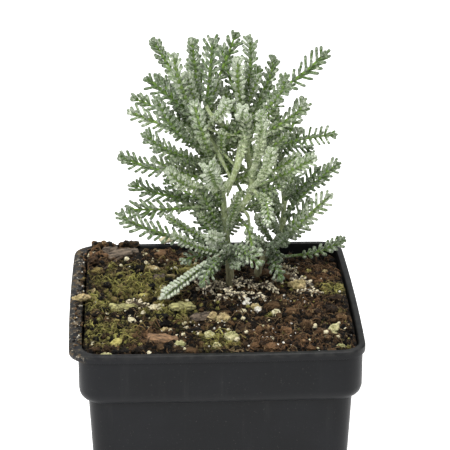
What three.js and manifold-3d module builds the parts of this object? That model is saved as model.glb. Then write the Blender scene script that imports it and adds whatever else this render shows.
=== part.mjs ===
// A young cotton lavender in its square nursery pot. Millimetres, +Z up, pot base on z = 0, front towards -Y.
import * as THREE from 'three';
import { mergeVertices } from 'three/addons/utils/BufferGeometryUtils.js';
import Module from 'manifold-3d';

const wasm = await Module();
wasm.setup();

// Pot
const potHeight = 83;
const wall = 1.2;
const floorThickness = 2;
const baseHalf = 37;
const bodyTopHalf = 40;
const collarHalf = 42.7;
const collarBottom = 66.2;
const collarRound = 3.6;
const collarStep = 1.3;
const collarEase = 2.2;
const cornerRadius = 6.5;
const cornerTaper = 0.3;
const wallBow = 0.5;
const baseBevel = [0.8, 1.2];
const lipHeight = 2.4;
const lipEdge = 0.7;
const lipBevel = 0.3;
const innerEdge = 0.4;
const lipOverhang = { left: 2.8, right: 0.8, front: 0.9, back: 0.6 };
const footWidth = 5;
const crossHalf = 4.5;
const footDepth = 0.9;
const drainRadius = 3.5;

// Soil
const clearance = 0.3;
const soilCells = 20;
const soilLevel = 80.2;
const stemHoleDepth = 11;
const crumbCount = 90;
const crumbSeed = 7;
const crumbRadius = [1.8, 4.2];
const crumbHeight = [-0.9, 1.1];

// Leaves and stems
const ribRadius = 0.6;
const ribTipRadius = 0.48;
const toothWidth = 0.85;
const toothShort = 1.4;
const toothLong = 2.3;
const toothEdgeShare = 0.36;
const endToothShare = 0.8;
const sideLean = 0.45;
const endLean = 1;
const crownLength = 1.5;
const toothGrowth = 1.6;
const whorlStep = 3.7;
const stalkShare = 0.28;
const rollRange = [-0.4, 0.4];

// Small helpers

// Seeded draws from 0 to 1
function seededDraws(seed) {
  let state = seed >>> 0;
  return () => {
    state = (state + 0x6d2b79f5) >>> 0;
    let t = state;
    t = Math.imul(t ^ (t >>> 15), t | 1);
    t ^= t + Math.imul(t ^ (t >>> 7), t | 61);
    return ((t ^ (t >>> 14)) >>> 0) / 4294967296;
  };
}

const mix = (a, b, t) => a + (b - a) * t;

const between = ([low, high], t) => mix(low, high, t);

const vector = ([x, y, z]) => new THREE.Vector3(x, y, z);

function geometryOf(points, triangles) {
  const geometry = new THREE.BufferGeometry();
  const flat = points.flatMap((p) => [p.x, p.y, p.z]);
  geometry.setAttribute('position', new THREE.Float32BufferAttribute(flat, 3));
  geometry.setIndex(triangles);
  return geometry;
}

function solidOf(geometry) {
  const bare = geometry.clone();
  bare.deleteAttribute('normal');
  bare.deleteAttribute('uv');
  const merged = mergeVertices(bare, 1e-4);
  const vertProperties = new Float32Array(merged.attributes.position.array);
  const triVerts = new Uint32Array(merged.index.array);
  return new wasm.Manifold(new wasm.Mesh({ numProp: 3, vertProperties, triVerts }));
}

function geometryFrom(solid) {
  const { vertProperties, triVerts } = solid.getMesh();
  const geometry = new THREE.BufferGeometry();
  geometry.setAttribute('position', new THREE.BufferAttribute(new Float32Array(vertProperties), 3));
  geometry.setIndex(new THREE.BufferAttribute(new Uint32Array(triVerts), 1));
  return geometry;
}

// A closed solid through rings of equal point counts, each end closed by a fan round its middle
function loft(rings) {
  const count = rings[0].length;
  const points = rings.flat();
  const triangles = [];
  for (let ring = 0; ring + 1 < rings.length; ring += 1) {
    for (let i = 0; i < count; i += 1) {
      const next = (i + 1) % count;
      const [a, b] = [ring * count + i, ring * count + next];
      triangles.push(a, b, b + count, a, b + count, a + count);
    }
  }
  const last = (rings.length - 1) * count;
  const middleOf = (ring) => ring.reduce((sum, p) => sum.add(p), new THREE.Vector3()).divideScalar(count);
  const bottom = points.push(middleOf(rings[0])) - 1;
  const top = points.push(middleOf(rings.at(-1))) - 1;
  for (let i = 0; i < count; i += 1) {
    const next = (i + 1) % count;
    triangles.push(bottom, next, i, top, last + i, last + next);
  }
  return geometryOf(points, triangles);
}

// Pot

// How far the lip stands out on the side that a wall faces
function overhangTowards(x, y) {
  const acrossPart = x < 0 ? lipOverhang.left : lipOverhang.right;
  const depthPart = y < 0 ? lipOverhang.front : lipOverhang.back;
  return acrossPart * x * x + depthPart * y * y;
}

// Corner radius of a level square, smaller on the narrower levels
const cornerAt = (half) => cornerRadius - (collarHalf - half) * cornerTaper;

// One level ring of the pot: straight, slightly bowed sides and round corners
function squareRing(z, half, flare = 0) {
  const radius = cornerAt(half);
  const cornerSteps = 4;
  const sideSteps = [-0.5, 0, 0.5];
  const straight = half - radius;
  const ring = [];
  for (let side = 0; side < 4; side += 1) {
    const turn = (side * Math.PI) / 2;
    const place = (across, out, angle) => {
      const [nx, ny] = [Math.cos(turn + angle), Math.sin(turn + angle)];
      const reach = out + flare * overhangTowards(nx, ny) * Math.abs(Math.cos(angle));
      const sway = across + flare * overhangTowards(nx, ny) * Math.sin(angle);
      const x = reach * Math.cos(turn) - sway * Math.sin(turn);
      const y = reach * Math.sin(turn) + sway * Math.cos(turn);
      ring.push(new THREE.Vector3(x, y, z));
    };
    for (const t of sideSteps) {
      place(t * straight, half + wallBow * (1 - t * t), 0);
    }
    for (let step = 0; step <= cornerSteps; step += 1) {
      const angle = (step / cornerSteps) * (Math.PI / 2);
      place(straight + radius * Math.sin(angle), straight + radius * Math.cos(angle), angle);
    }
  }
  return ring;
}

// Up the outside, over the lip and down the inside to the floor
function potShell() {
  const innerTop = collarHalf - wall;
  const collarFull = collarBottom + collarRound;
  return loft([
    squareRing(0, baseHalf - baseBevel[0]),
    squareRing(baseBevel[1], baseHalf),
    squareRing(collarBottom, bodyTopHalf),
    squareRing(collarBottom + 0.2, bodyTopHalf + collarStep),
    squareRing(mix(collarBottom, collarFull, 0.35), bodyTopHalf + collarEase),
    squareRing(collarFull, collarHalf),
    squareRing(potHeight - lipHeight - lipBevel, collarHalf),
    squareRing(potHeight - lipHeight, collarHalf, 0.9),
    squareRing(potHeight - lipEdge, collarHalf, 1),
    squareRing(potHeight, collarHalf - lipBevel, 0.75),
    squareRing(potHeight, innerTop + innerEdge),
    squareRing(potHeight - 2 * innerEdge, innerTop),
    squareRing(collarFull, innerTop),
    squareRing(collarBottom, bodyTopHalf - wall),
    squareRing(floorThickness, baseHalf - wall),
  ]);
}

// Four panels sunk into the underside between a foot rim and a cross, each with a drain hole
function drainCut(sideX, sideY) {
  const outer = baseHalf - footWidth;
  const size = outer - crossHalf;
  const middle = (crossHalf + outer) / 2;
  const panel = new THREE.BoxGeometry(size, size, footDepth * 2);
  panel.translate(sideX * middle, sideY * middle, 0);
  const hole = new THREE.CylinderGeometry(drainRadius, drainRadius, floorThickness * 4, 16);
  hole.rotateX(Math.PI / 2);
  hole.translate(sideX * middle, sideY * middle, 0);
  return solidOf(panel).add(solidOf(hole));
}

function potGeometry() {
  let pot = solidOf(potShell());
  for (const [sideX, sideY] of [[-1, -1], [1, -1], [1, 1], [-1, 1]]) {
    pot = pot.subtract(drainCut(sideX, sideY));
  }
  return geometryFrom(pot);
}

// Soil

// Broad heaps and the hollow at the back right, then seeded crumbs
const soilHeaps = [
  { x: -30, y: 34, radius: 20.5, height: 1.9 },
  { x: 6, y: -4, radius: 22.4, height: 1.2 },
  { x: -6, y: -36, radius: 22.4, height: 1.1 },
  { x: 30, y: 36, radius: 20, height: -1.6 },
];

function soilCrumbs() {
  const draw = seededDraws(crumbSeed);
  const sides = [-bodyTopHalf, bodyTopHalf];
  return Array.from({ length: crumbCount }, () => ({
    x: between(sides, draw()),
    y: between(sides, draw()),
    radius: between(crumbRadius, draw()),
    height: between(crumbHeight, draw()),
  }));
}

const soilBumps = [...soilHeaps, ...soilCrumbs()];

function soilHeight(x, y) {
  return soilBumps.reduce((z, bump) => {
    const away = ((x - bump.x) ** 2 + (y - bump.y) ** 2) / bump.radius ** 2;
    return z + bump.height * Math.exp(-away);
  }, soilLevel);
}

// Where a point of the unit square lies on the soil: the square's rim follows the pot's round corners
function soilPoint(u, v, half) {
  const edge = Math.max(Math.abs(u), Math.abs(v));
  if (edge === 0) {
    return [0, 0];
  }
  const radius = cornerAt(half);
  const straight = half - radius;
  const shorter = (Math.min(Math.abs(u), Math.abs(v)) / edge) * half;
  const angle = (Math.max(0, shorter - straight) / radius) * (Math.PI / 4);
  const longReach = angle > 0 ? straight + radius * Math.cos(angle) : half;
  const shortReach = angle > 0 ? straight + radius * Math.sin(angle) : shorter;
  const wideFirst = Math.abs(u) >= Math.abs(v);
  const rimX = Math.sign(u) * (wideFirst ? longReach : shortReach);
  const rimY = Math.sign(v) * (wideFirst ? shortReach : longReach);
  const pull = edge ** 4;
  return [mix(half * u, rimX, pull), mix(half * v, rimY, pull)];
}

// Grid places round the soil's rim, counterclockwise
function rimCells() {
  const steps = Array.from({ length: soilCells }, (_, i) => i);
  return [
    ...steps.map((i) => [i, 0]),
    ...steps.map((i) => [soilCells, i]),
    ...steps.map((i) => [soilCells - i, soilCells]),
    ...steps.map((i) => [0, soilCells - i]),
  ];
}

// The filled block of soil: a bumpy top, sides that follow the pot's inside, and a flat bottom
function soilBlock() {
  const topHalf = collarHalf - wall - clearance;
  const bottom = floorThickness + clearance;
  const levels = [
    [collarBottom + collarRound + clearance, topHalf],
    [collarBottom + clearance, bodyTopHalf - wall - clearance],
    [bottom, baseHalf - wall - clearance],
  ];
  const cell = (i) => (i / soilCells) * 2 - 1;
  const row = soilCells + 1;
  const points = [];
  const triangles = [];
  for (let k = 0; k < row * row; k += 1) {
    const [i, j] = [k % row, Math.floor(k / row)];
    const [x, y] = soilPoint(cell(i), cell(j), topHalf);
    points.push(new THREE.Vector3(x, y, soilHeight(x, y)));
    if (i < soilCells && j < soilCells) {
      triangles.push(k, k + 1, k + row + 1, k, k + row + 1, k + row);
    }
  }
  const around = rimCells();
  let upper = around.map(([i, j]) => j * row + i);
  for (const [z, half] of levels) {
    const lower = around.map(([i, j]) => {
      const [x, y] = soilPoint(cell(i), cell(j), half);
      return points.push(new THREE.Vector3(x, y, z)) - 1;
    });
    lower.forEach((corner, i) => {
      const next = (i + 1) % lower.length;
      triangles.push(corner, lower[next], upper[next], corner, upper[next], upper[i]);
    });
    upper = lower;
  }
  const middle = points.push(new THREE.Vector3(0, 0, bottom)) - 1;
  upper.forEach((corner, i) => triangles.push(middle, upper[(i + 1) % upper.length], corner));
  return geometryOf(points, triangles);
}

// Pieces that lie in the soil surface

const bitColours = {
  greyBark: 0x7d7466,
  redBark: 0x6b3f2b,
  tan: 0xb0936a,
  mossy: 0xa9a877,
  pale: 0xcfc7a6,
  yellow: 0xb7a04e,
};
const looseBits = [
  { name: 'bark_chip_back', kind: 'greyBark', at: [-31, 35], size: [9, 5.5, 2.6], turn: 12, tilt: -12 },
  { name: 'bark_chip_front_left', kind: 'greyBark', at: [-11, -7], size: [8.5, 4, 2.4], turn: 24, tilt: 8 },
  { name: 'bark_chip_front', kind: 'greyBark', at: [-5, -14.4], size: [6.5, 3.4, 2.6], turn: 30, tilt: 10 },
  { name: 'bark_chip_red', kind: 'redBark', at: [-17.5, -28], size: [10.5, 5, 2.2], turn: -6, tilt: 6 },
  { name: 'tan_lump', kind: 'tan', at: [1.8, -16.4], size: [5.2, 4.6, 4], turn: 15, tilt: 0 },
  { name: 'mossy_lump_left', kind: 'mossy', at: [-3, -27.5], size: [4.2, 4, 3.2], turn: 40, tilt: 0 },
  { name: 'mossy_lump_right', kind: 'mossy', at: [3.6, -29.5], size: [5.4, 4.6, 3.8], turn: -20, tilt: 0 },
  { name: 'mossy_lump_front', kind: 'mossy', at: [-1, -34.8], size: [3.4, 3.2, 2.6], turn: 10, tilt: 0 },
  { name: 'pale_stone', kind: 'pale', at: [18.2, -12.5], size: [4.6, 4.2, 4.6], turn: 20, tilt: 0 },
  { name: 'white_bit_left', kind: 'pale', at: [9.4, -4.5], size: [3.4, 2.8, 2.6], turn: 35, tilt: 0 },
  { name: 'white_bit_right', kind: 'pale', at: [12.6, -9.3], size: [3.6, 3, 2.6], turn: -30, tilt: 0 },
  { name: 'tan_lump_back', kind: 'tan', at: [22.8, 22.6], size: [5, 4.4, 3.6], turn: 0, tilt: 0 },
  { name: 'tan_lump_right', kind: 'tan', at: [26.4, 10.6], size: [7, 5.4, 4.6], turn: -24, tilt: 0 },
  { name: 'yellow_lump', kind: 'yellow', at: [31.2, 23.4], size: [3.6, 3, 2.6], turn: 0, tilt: 0 },
  { name: 'pale_lump_right', kind: 'mossy', at: [35, -26], size: [3.8, 3, 2.4], turn: 0, tilt: 0 },
];

// Lumps that lie on the pot's rim
const rimBits = [
  { name: 'tan_lump_on_lip', kind: 'tan', at: [-42.2, -3.4], size: [6.4, 3.2, 2.8], turn: 9 },
  { name: 'cream_lump_on_rim', kind: 'pale', at: [-14.8, 42.5], size: [5.6, 2.9, 2.9], turn: -4 },
];
const rimBitLift = 0.1;

const lumpFineFrom = 5;
const dentRange = [0.8, 1.04];
const lumpSeed = 100;
const rimBitSeed = 90;
const sunkShare = 0.36;

// A rough lump of the given size with seeded dents: a ball, or a block for bark
function lumpGeometry({ size, kind }, seed, grow = 0) {
  const draw = seededDraws(seed);
  const detail = Math.max(...size) > lumpFineFrom ? 1 : 0;
  const blocky = kind.endsWith('Bark');
  const start = blocky ? new THREE.BoxGeometry(1, 1, 1, 2, 1, 1) : new THREE.IcosahedronGeometry(0.5, detail);
  start.deleteAttribute('normal');
  start.deleteAttribute('uv');
  const lump = mergeVertices(start, 1e-3);
  const position = lump.attributes.position;
  const corner = new THREE.Vector3();
  for (let i = 0; i < position.count; i += 1) {
    corner.fromBufferAttribute(position, i).multiplyScalar(between(dentRange, draw()));
    position.setXYZ(i, corner.x * (size[0] + grow), corner.y * (size[1] + grow), corner.z * (size[2] + grow));
  }
  return lump;
}

function placedBit(bit, index, grow = 0) {
  const lump = lumpGeometry(bit, lumpSeed + index, grow);
  lump.rotateY(THREE.MathUtils.degToRad(bit.tilt));
  lump.rotateZ(THREE.MathUtils.degToRad(bit.turn));
  const [x, y] = bit.at;
  lump.translate(x, y, soilHeight(x, y) + bit.size[2] * (0.5 - sunkShare));
  return lump;
}

function placedRimBit(bit, index) {
  const lump = lumpGeometry(bit, rimBitSeed + index);
  lump.rotateZ(THREE.MathUtils.degToRad(bit.turn));
  lump.translate(...bit.at, potHeight + bit.size[2] / 2 + rimBitLift);
  return lump;
}

// A dark twig that lies on the back left soil, its far end raised on the bark chip there
const twigSpots = [[-29.8, 31, 1.7], [-32.8, 26.4, 1.3], [-35.6, 21.8, 1.1]];
const twigRadius = 0.6;

function twigGeometry() {
  const path = twigSpots.map(([x, y, lift]) => [x, y, soilHeight(x, y) + lift]);
  return tubeAlong(path, [twigRadius, twigRadius * 0.6], 5);
}

// Stems

const stemPaths = {
  left: [
    [4.9, 10, soilLevel - stemHoleDepth], [4.9, 10, 83], [4.6, 10, 90], [3.9, 10, 97], [3.2, 9, 103],
    [2.8, 9, 110], [2, 9.5, 116], [-0.3, 9, 123], [-2.6, 8.4, 131], [-4.4, 8, 139], [-5, 8, 144],
  ],
  leftBranch: [
    [3.1, 9, 104], [7.6, 8.2, 109], [11, 8, 114], [11.2, 9, 121],
    [10.2, 10, 128], [9, 11, 136], [9, 11.5, 142],
  ],
  right: [
    [14.2, 18, soilLevel - stemHoleDepth], [14.2, 18, 82], [15.4, 18.4, 86], [18.2, 20, 90], [21.6, 21.6, 95],
    [22.8, 22, 103], [22.6, 22, 110], [21.8, 21, 118], [21.4, 20, 125],
  ],
};
const stemRadii = {
  left: [1.45, 0.6],
  leftBranch: [1.05, 0.6],
  right: [1.35, 0.6],
};

// Where a stem passes the given height
function stemPoint(stem, height) {
  const path = stemPaths[stem];
  for (let i = 0; i + 1 < path.length; i += 1) {
    const [low, high] = [path[i], path[i + 1]];
    if (height <= high[2] || i + 2 === path.length) {
      return vector(low).lerp(vector(high), (height - low[2]) / (high[2] - low[2]));
    }
  }
  return vector(path.at(-1));
}

// Points round a spot of a path, in the plane across its direction
function ringAcross(centre, direction, across, radius, sides, roll) {
  const side = across.clone().addScaledVector(direction, -across.dot(direction)).normalize();
  const other = new THREE.Vector3().crossVectors(direction, side);
  const ring = [];
  for (let i = 0; i < sides; i += 1) {
    const angle = roll + (i / sides) * Math.PI * 2;
    const spot = centre.clone().addScaledVector(side, radius * Math.cos(angle));
    ring.push(spot.addScaledVector(other, radius * Math.sin(angle)));
  }
  return ring;
}

function tubeAlong(path, [radiusStart, radiusEnd], sides) {
  const points = path.map(vector);
  const rings = points.map((point, i) => {
    const before = points[Math.max(0, i - 1)];
    const after = points[Math.min(points.length - 1, i + 1)];
    const direction = after.clone().sub(before).normalize();
    const radius = mix(radiusStart, radiusEnd, i / (points.length - 1));
    return ringAcross(point, direction, new THREE.Vector3(1, 0.1, 0.05), radius, sides, 0);
  });
  return loft(rings);
}

// Leaves

// The direction in a leaf's plane that its side teeth point to, seen flat from the front
function leafAcross(chord) {
  const across = new THREE.Vector3().crossVectors(chord, new THREE.Vector3(0, 1, 0));
  const runsFrontToBack = across.length() < 0.3 * chord.length();
  return runsFrontToBack ? new THREE.Vector3(1, 0, 0) : across.normalize();
}

// The curve that passes the base, the middle and the tip of a leaf's rib
function ribCurve({ base, middle, tip }) {
  const control = middle.clone().multiplyScalar(2).addScaledVector(base, -0.5).addScaledVector(tip, -0.5);
  return new THREE.QuadraticBezierCurve3(base, control, tip);
}

// Places along the rib, in mm, where its rings stand: the foot, then the two ends of every whorl
function ribStations(length, stalk, whorls) {
  const blade = length * (1 - stalk) - toothWidth;
  const starts = Array.from({ length: whorls }, (_, i) => length * stalk + (i / whorls) * blade);
  return [0, ...starts.flatMap((start) => [start, start + toothWidth])];
}

// Length and forward lean of a whorl's teeth: short low down, long higher up, the last ones swept forward
function whorlTeeth(share, tooth) {
  const grown = Math.min(1, share * toothGrowth);
  const last = share === 1;
  const reach = tooth * mix(toothShort, toothLong, grown) * (last ? endToothShare : 1);
  return { reach, lean: last ? endLean : sideLean };
}

// Raises each of the four faces between two rings into a wedge-shaped tooth
function addTeeth(points, triangles, ring, forward, { reach, lean }) {
  const halfEdge = toothWidth * toothEdgeShare;
  for (let i = 0; i < 4; i += 1) {
    const next = (i + 1) % 4;
    const [a, b] = [ring * 4 + i, ring * 4 + next];
    const [c, d] = [b + 4, a + 4];
    const alongRing = points[b].clone().sub(points[a]);
    const alongRib = points[d].clone().sub(points[a]);
    const outward = alongRing.clone().cross(alongRib).normalize();
    const end = [a, b, c, d].reduce((sum, k) => sum.add(points[k]), new THREE.Vector3()).divideScalar(4);
    end.addScaledVector(outward, reach).addScaledVector(forward, lean * reach);
    const near = points.push(end.clone().addScaledVector(forward, -halfEdge)) - 1;
    const far = points.push(end.clone().addScaledVector(forward, halfEdge)) - 1;
    triangles.push(a, b, near, c, d, far, b, c, far, b, far, near, d, a, near, d, near, far);
  }
}

function addPlainWall(triangles, ring) {
  for (let i = 0; i < 4; i += 1) {
    const [a, b] = [ring * 4 + i, ring * 4 + ((i + 1) % 4)];
    triangles.push(a, b, b + 4, a, b + 4, a + 4);
  }
}

// A leaf is one closed solid: a four-sided rib whose faces rise into four teeth at every whorl
function leafGeometry({ base, middle, tip, tooth = 1, stalk = stalkShare, roll }) {
  const rib = ribCurve({ base, middle, tip });
  const length = rib.getLength();
  const across = leafAcross(tip.clone().sub(base));
  const whorls = Math.max(2, Math.round((length * (1 - stalk)) / whorlStep));
  const stations = ribStations(length, stalk, whorls);
  const directions = stations.map((at) => rib.getTangentAt(at / length));
  const points = stations.flatMap((at, i) => {
    const radius = mix(ribRadius, ribTipRadius, at / length);
    return ringAcross(rib.getPointAt(at / length), directions[i], across, radius, 4, Math.PI / 4 + roll);
  });
  const foot = [0, 2, 1, 0, 3, 2];
  const triangles = [...foot];
  addPlainWall(triangles, 0);
  for (let i = 0; i < whorls; i += 1) {
    const ring = 1 + i * 2;
    addTeeth(points, triangles, ring, directions[ring], whorlTeeth(i / (whorls - 1), tooth));
    if (i + 1 < whorls) {
      addPlainWall(triangles, ring + 1);
    }
  }
  const end = (stations.length - 1) * 4;
  const crown = points[end].clone().lerp(points[end + 2], 0.5);
  crown.addScaledVector(directions.at(-1), tooth * crownLength);
  const top = points.push(crown) - 1;
  for (let i = 0; i < 4; i += 1) {
    triangles.push(end + i, end + ((i + 1) % 4), top);
  }
  return geometryOf(points, triangles);
}

// Leaves chosen one by one: stem, height on it, middle and tip of the rib, tooth size, bare share of the rib
const placedLeaves = [
  ['left', 142, [-6, 7, 156], [-7, 6, 166]],
  ['left', 136, [-2, 3, 152], [-1, -2, 168], 1.15],
  ['left', 139, [2, 13, 152], [7, 14, 165]],
  ['leftBranch', 134, [4, 20, 142], [0, 22, 147], 0.9],
  ['leftBranch', 138, [7, 5, 151], [7, 2, 161]],
  ['leftBranch', 141, [11, 11, 156], [10, 10, 165], 1.1],
  ['leftBranch', 136, [13, 20, 146], [15, 24, 151], 0.8],
  ['leftBranch', 137, [17, 15, 149], [18, 16, 157], 0.9],
  ['left', 141, [-14, 12, 155], [-19, 12, 164]],
  ['left', 137, [-10, 0, 151], [-13, -4, 164], 1.1],
  ['left', 139, [-14, 4, 148], [-21, 2, 155]],
  ['left', 134, [-18, 16, 140], [-26, 18, 143]],
  ['left', 131, [-17, 7, 138], [-27, 6, 143]],
  ['left', 128, [-12, -3, 139], [-18, -8, 152]],
  ['left', 124, [-14, -1, 132], [-22, -6, 140], 1.1],
  ['left', 119, [-18, 10, 122], [-30, 10, 127]],
  ['left', 121, [-13, 20, 123], [-19, 22, 124], 0.8],
  ['left', 115, [-9, -4, 122], [-15, -10, 130]],
  ['left', 112, [-16, 16, 111], [-26, 20, 114], 1.15],
  ['left', 110, [-14, 6, 110], [-28, 4, 111], 1.15, 0.45],
  ['left', 96, [-17, 1, 104], [-30, -4, 113], 1.1],
  ['left', 107, [-5, 13, 108], [-10, 16, 108], 0.7],
  ['left', 116, [0, -4, 122], [-3, -15, 132], 1.1],
  ['left', 122, [-4, -4, 138], [-7, -6, 150]],
  ['leftBranch', 119, [14, -1, 135], [13, -5, 146]],
  ['leftBranch', 138, [8, -1, 143], [8, -10, 149], 0.9],
  ['left', 135, [1, 0, 143], [4, -8, 150], 0.9],
  ['left', 138, [-7, 3, 149], [-9, -1, 157], 0.9],
  ['left', 100, [0, -2, 103], [-3, -11, 108], 0.9],
  ['leftBranch', 112, [4, 13, 122], [-1, 15, 131]],
  ['left', 114, [8, 4, 128], [9, 1, 144], 0.9, 0.5],
  ['leftBranch', 139, [26, 9, 152], [34, 6, 161], 1.15],
  ['leftBranch', 136, [19, 4, 147], [20, -2, 156], 0.9],
  ['leftBranch', 130, [22, 8, 138], [28, 4, 145], 1.1],
  ['right', 122, [19, 24, 127], [25, 28, 129], 0.8],
  ['leftBranch', 127, [27, 13, 130], [39, 14, 131]],
  ['leftBranch', 125, [21, 17, 126], [32, 23, 123], 0.9],
  ['leftBranch', 115, [22, 2, 123], [31, -2, 130], 1.1],
  ['leftBranch', 115, [15, -2, 125], [17, -8, 135]],
  ['right', 100, [31, 14, 114], [39, 8, 124]],
  ['right', 96, [26, 27, 103], [28, 31, 111], 0.8],
  ['right', 91, [27, 10, 103], [36, 4, 115], 1.1],
  ['right', 88, [32, 21, 88], [43, 22, 93], 1, 0.45],
  ['right', 98, [20, 27, 103], [20, 31, 107], 0.8],
  ['leftBranch', 114, [15, -4, 116], [15, -13, 111]],
  ['left', 95, [-6, 2, 90.5], [-18, -6, 84.5], 0.9],
  ['left', 92, [-1, 0, 93], [-5, -8, 89], 0.8],
  ['left', 93, [-5, 7, 94], [-11, 4, 92], 0.8],
  ['left', 96, [9, -2, 98], [14, -8, 96]],
  ['right', 89, [19, 9, 89], [21, 3, 85.5], 0.8],
  ['left', 104, [9, 6, 105], [12, 4, 97], 0.7],
];

// Leaves on the far side: heights in even steps up each stem, directions by the golden angle with seeded sway
const rearRows = [
  { stem: 'left', from: 98, to: 140, count: 8, middleAngle: 118, spread: 55 },
  { stem: 'leftBranch', from: 118, to: 139, count: 4, middleAngle: 84, spread: 50 },
  { stem: 'right', from: 90, to: 124, count: 6, middleAngle: 92, spread: 55 },
];
const rearSeed = 295;
const rearReach = [19, 25];
const rearRise = [8, 52];
const rearRiseSway = [-6, 6];
const rearTooth = [0.85, 1.1];
const rearSag = 0.06;
const goldenShare = 0.618;
const swingSway = 0.15;

function rearLeaves() {
  const draw = seededDraws(rearSeed);
  return rearRows.flatMap(({ stem, from, to, count, middleAngle, spread }) =>
    Array.from({ length: count }, (_, i) => {
      const height = mix(from, to, i / (count - 1));
      const swing = ((i * goldenShare + draw() * swingSway) % 1) * 2 - 1;
      const angle = THREE.MathUtils.degToRad(middleAngle + swing * spread);
      const rise = THREE.MathUtils.degToRad(between(rearRise, i / (count - 1)) + between(rearRiseSway, draw()));
      const reach = between(rearReach, draw());
      const base = stemPoint(stem, height);
      const outward = new THREE.Vector3(Math.cos(angle), Math.sin(angle), 0);
      const tip = base.clone().addScaledVector(outward, reach * Math.cos(rise));
      tip.z += reach * Math.sin(rise);
      const middle = base.clone().lerp(tip, 0.5);
      middle.z -= reach * rearSag;
      return { stem, base, middle, tip, tooth: between(rearTooth, draw()), roll: between(rollRange, draw()) };
    }),
  );
}

function chosenLeaves() {
  const draw = seededDraws(rearSeed + 1);
  return placedLeaves.map(([stem, height, middle, tip, tooth, stalk]) => ({
    stem,
    base: stemPoint(stem, height),
    middle: vector(middle),
    tip: vector(tip),
    tooth,
    stalk,
    roll: between(rollRange, draw()),
  }));
}

// A stem with its branches and every leaf that grows on them, joined to one solid
function leafyStem(stems, leaves) {
  let plant = null;
  for (const stem of stems) {
    const tube = solidOf(tubeAlong(stemPaths[stem], stemRadii[stem], 6));
    plant = plant ? plant.add(tube) : tube;
  }
  for (const leaf of leaves.filter((one) => stems.includes(one.stem))) {
    plant = plant.add(solidOf(leafGeometry(leaf)));
  }
  return plant;
}

// Assembly

const model = new THREE.Group();
model.name = 'potted_cotton_lavender';

function addPiece(name, geometry, color, roughness) {
  geometry.computeVertexNormals();
  const material = new THREE.MeshStandardMaterial({ color, roughness, metalness: 0, flatShading: true });
  const mesh = new THREE.Mesh(geometry, material);
  mesh.name = name;
  model.add(mesh);
}

function stemHole(stem) {
  const [x, y] = stemPaths[stem][0];
  const radius = stemRadii[stem][0] + clearance;
  const bottom = soilLevel - stemHoleDepth - clearance;
  const hole = new THREE.CylinderGeometry(radius, radius, stemHoleDepth * 2, 10);
  hole.rotateX(Math.PI / 2);
  hole.translate(x, y, bottom + stemHoleDepth);
  return solidOf(hole);
}

function soilGeometry() {
  let soil = solidOf(soilBlock());
  for (const stem of ['left', 'right']) {
    soil = soil.subtract(stemHole(stem));
  }
  looseBits.forEach((bit, index) => {
    soil = soil.subtract(solidOf(placedBit(bit, index, 2 * clearance)));
  });
  return geometryFrom(soil);
}

const leaves = [...chosenLeaves(), ...rearLeaves()];
const satin = 0.45;
const matt = 0.9;

addPiece('pot', potGeometry(), 0x2d2f32, satin);
addPiece('soil', soilGeometry(), 0x3c2f22, matt);
addPiece('leafy_stem_left', geometryFrom(leafyStem(['left', 'leftBranch'], leaves)), 0x9db09a, matt);
addPiece('leafy_stem_right', geometryFrom(leafyStem(['right'], leaves)), 0x9db09a, matt);
looseBits.forEach((bit, index) => addPiece(bit.name, placedBit(bit, index), bitColours[bit.kind], matt));
rimBits.forEach((bit, index) => addPiece(bit.name, placedRimBit(bit, index), bitColours[bit.kind], matt));
addPiece('twig', twigGeometry(), 0x3a2f26, matt);

export default model;
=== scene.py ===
import math
from collections import namedtuple
from contextlib import contextmanager

import bpy
import numpy as np
from mathutils import Matrix, Vector, noise


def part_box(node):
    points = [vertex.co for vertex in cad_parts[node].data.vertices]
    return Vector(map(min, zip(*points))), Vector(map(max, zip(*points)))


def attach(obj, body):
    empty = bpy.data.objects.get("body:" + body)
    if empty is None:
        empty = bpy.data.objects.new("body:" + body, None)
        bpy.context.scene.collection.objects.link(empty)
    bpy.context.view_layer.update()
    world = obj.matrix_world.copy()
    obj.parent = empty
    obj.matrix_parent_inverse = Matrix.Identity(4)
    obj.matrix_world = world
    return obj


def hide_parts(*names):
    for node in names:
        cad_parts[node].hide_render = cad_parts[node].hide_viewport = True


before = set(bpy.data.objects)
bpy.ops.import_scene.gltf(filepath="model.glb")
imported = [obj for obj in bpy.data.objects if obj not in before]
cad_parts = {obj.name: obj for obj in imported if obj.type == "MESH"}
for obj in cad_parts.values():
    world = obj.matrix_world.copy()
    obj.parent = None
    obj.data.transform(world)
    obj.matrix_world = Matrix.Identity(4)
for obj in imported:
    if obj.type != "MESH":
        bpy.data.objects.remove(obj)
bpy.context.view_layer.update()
millimetre = 0.001
body = "root"


# Small helpers

def seededDraws(seed):
    # draws from 0 to 1, the same row as in the part's source
    state = seed & 0xFFFFFFFF

    def draw():
        nonlocal state
        state = (state + 0x6D2B79F5) & 0xFFFFFFFF
        t = state
        t = ((t ^ (t >> 15)) * (t | 1)) & 0xFFFFFFFF
        t ^= (t + (t ^ (t >> 7)) * (t | 61)) & 0xFFFFFFFF
        return ((t ^ (t >> 14)) & 0xFFFFFFFF) / 2 ** 32

    return draw


def mix(a, b, t):
    return a + (b - a) * t


def between(pair, t):
    return mix(pair[0], pair[1], t)


def srgb(red, green, blue):
    # a colour as a paint chart gives it, 0 to 255, turned into light
    parts = []
    for value in (red, green, blue):
        share = value / 255
        parts.append(share / 12.92 if share <= 0.04045 else ((share + 0.055) / 1.055) ** 2.4)
    return (*parts, 1.0)


def turned(turn, tilt):
    # a turn about the upright and a tilt before it, in degrees
    return Matrix.Rotation(math.radians(turn), 4, "Z") @ Matrix.Rotation(math.radians(tilt), 4, "Y")


def deselectAll():
    if bpy.context.object and bpy.context.object.mode != "OBJECT":
        bpy.ops.object.mode_set(mode="OBJECT")
    bpy.ops.object.select_all(action="DESELECT")


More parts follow.
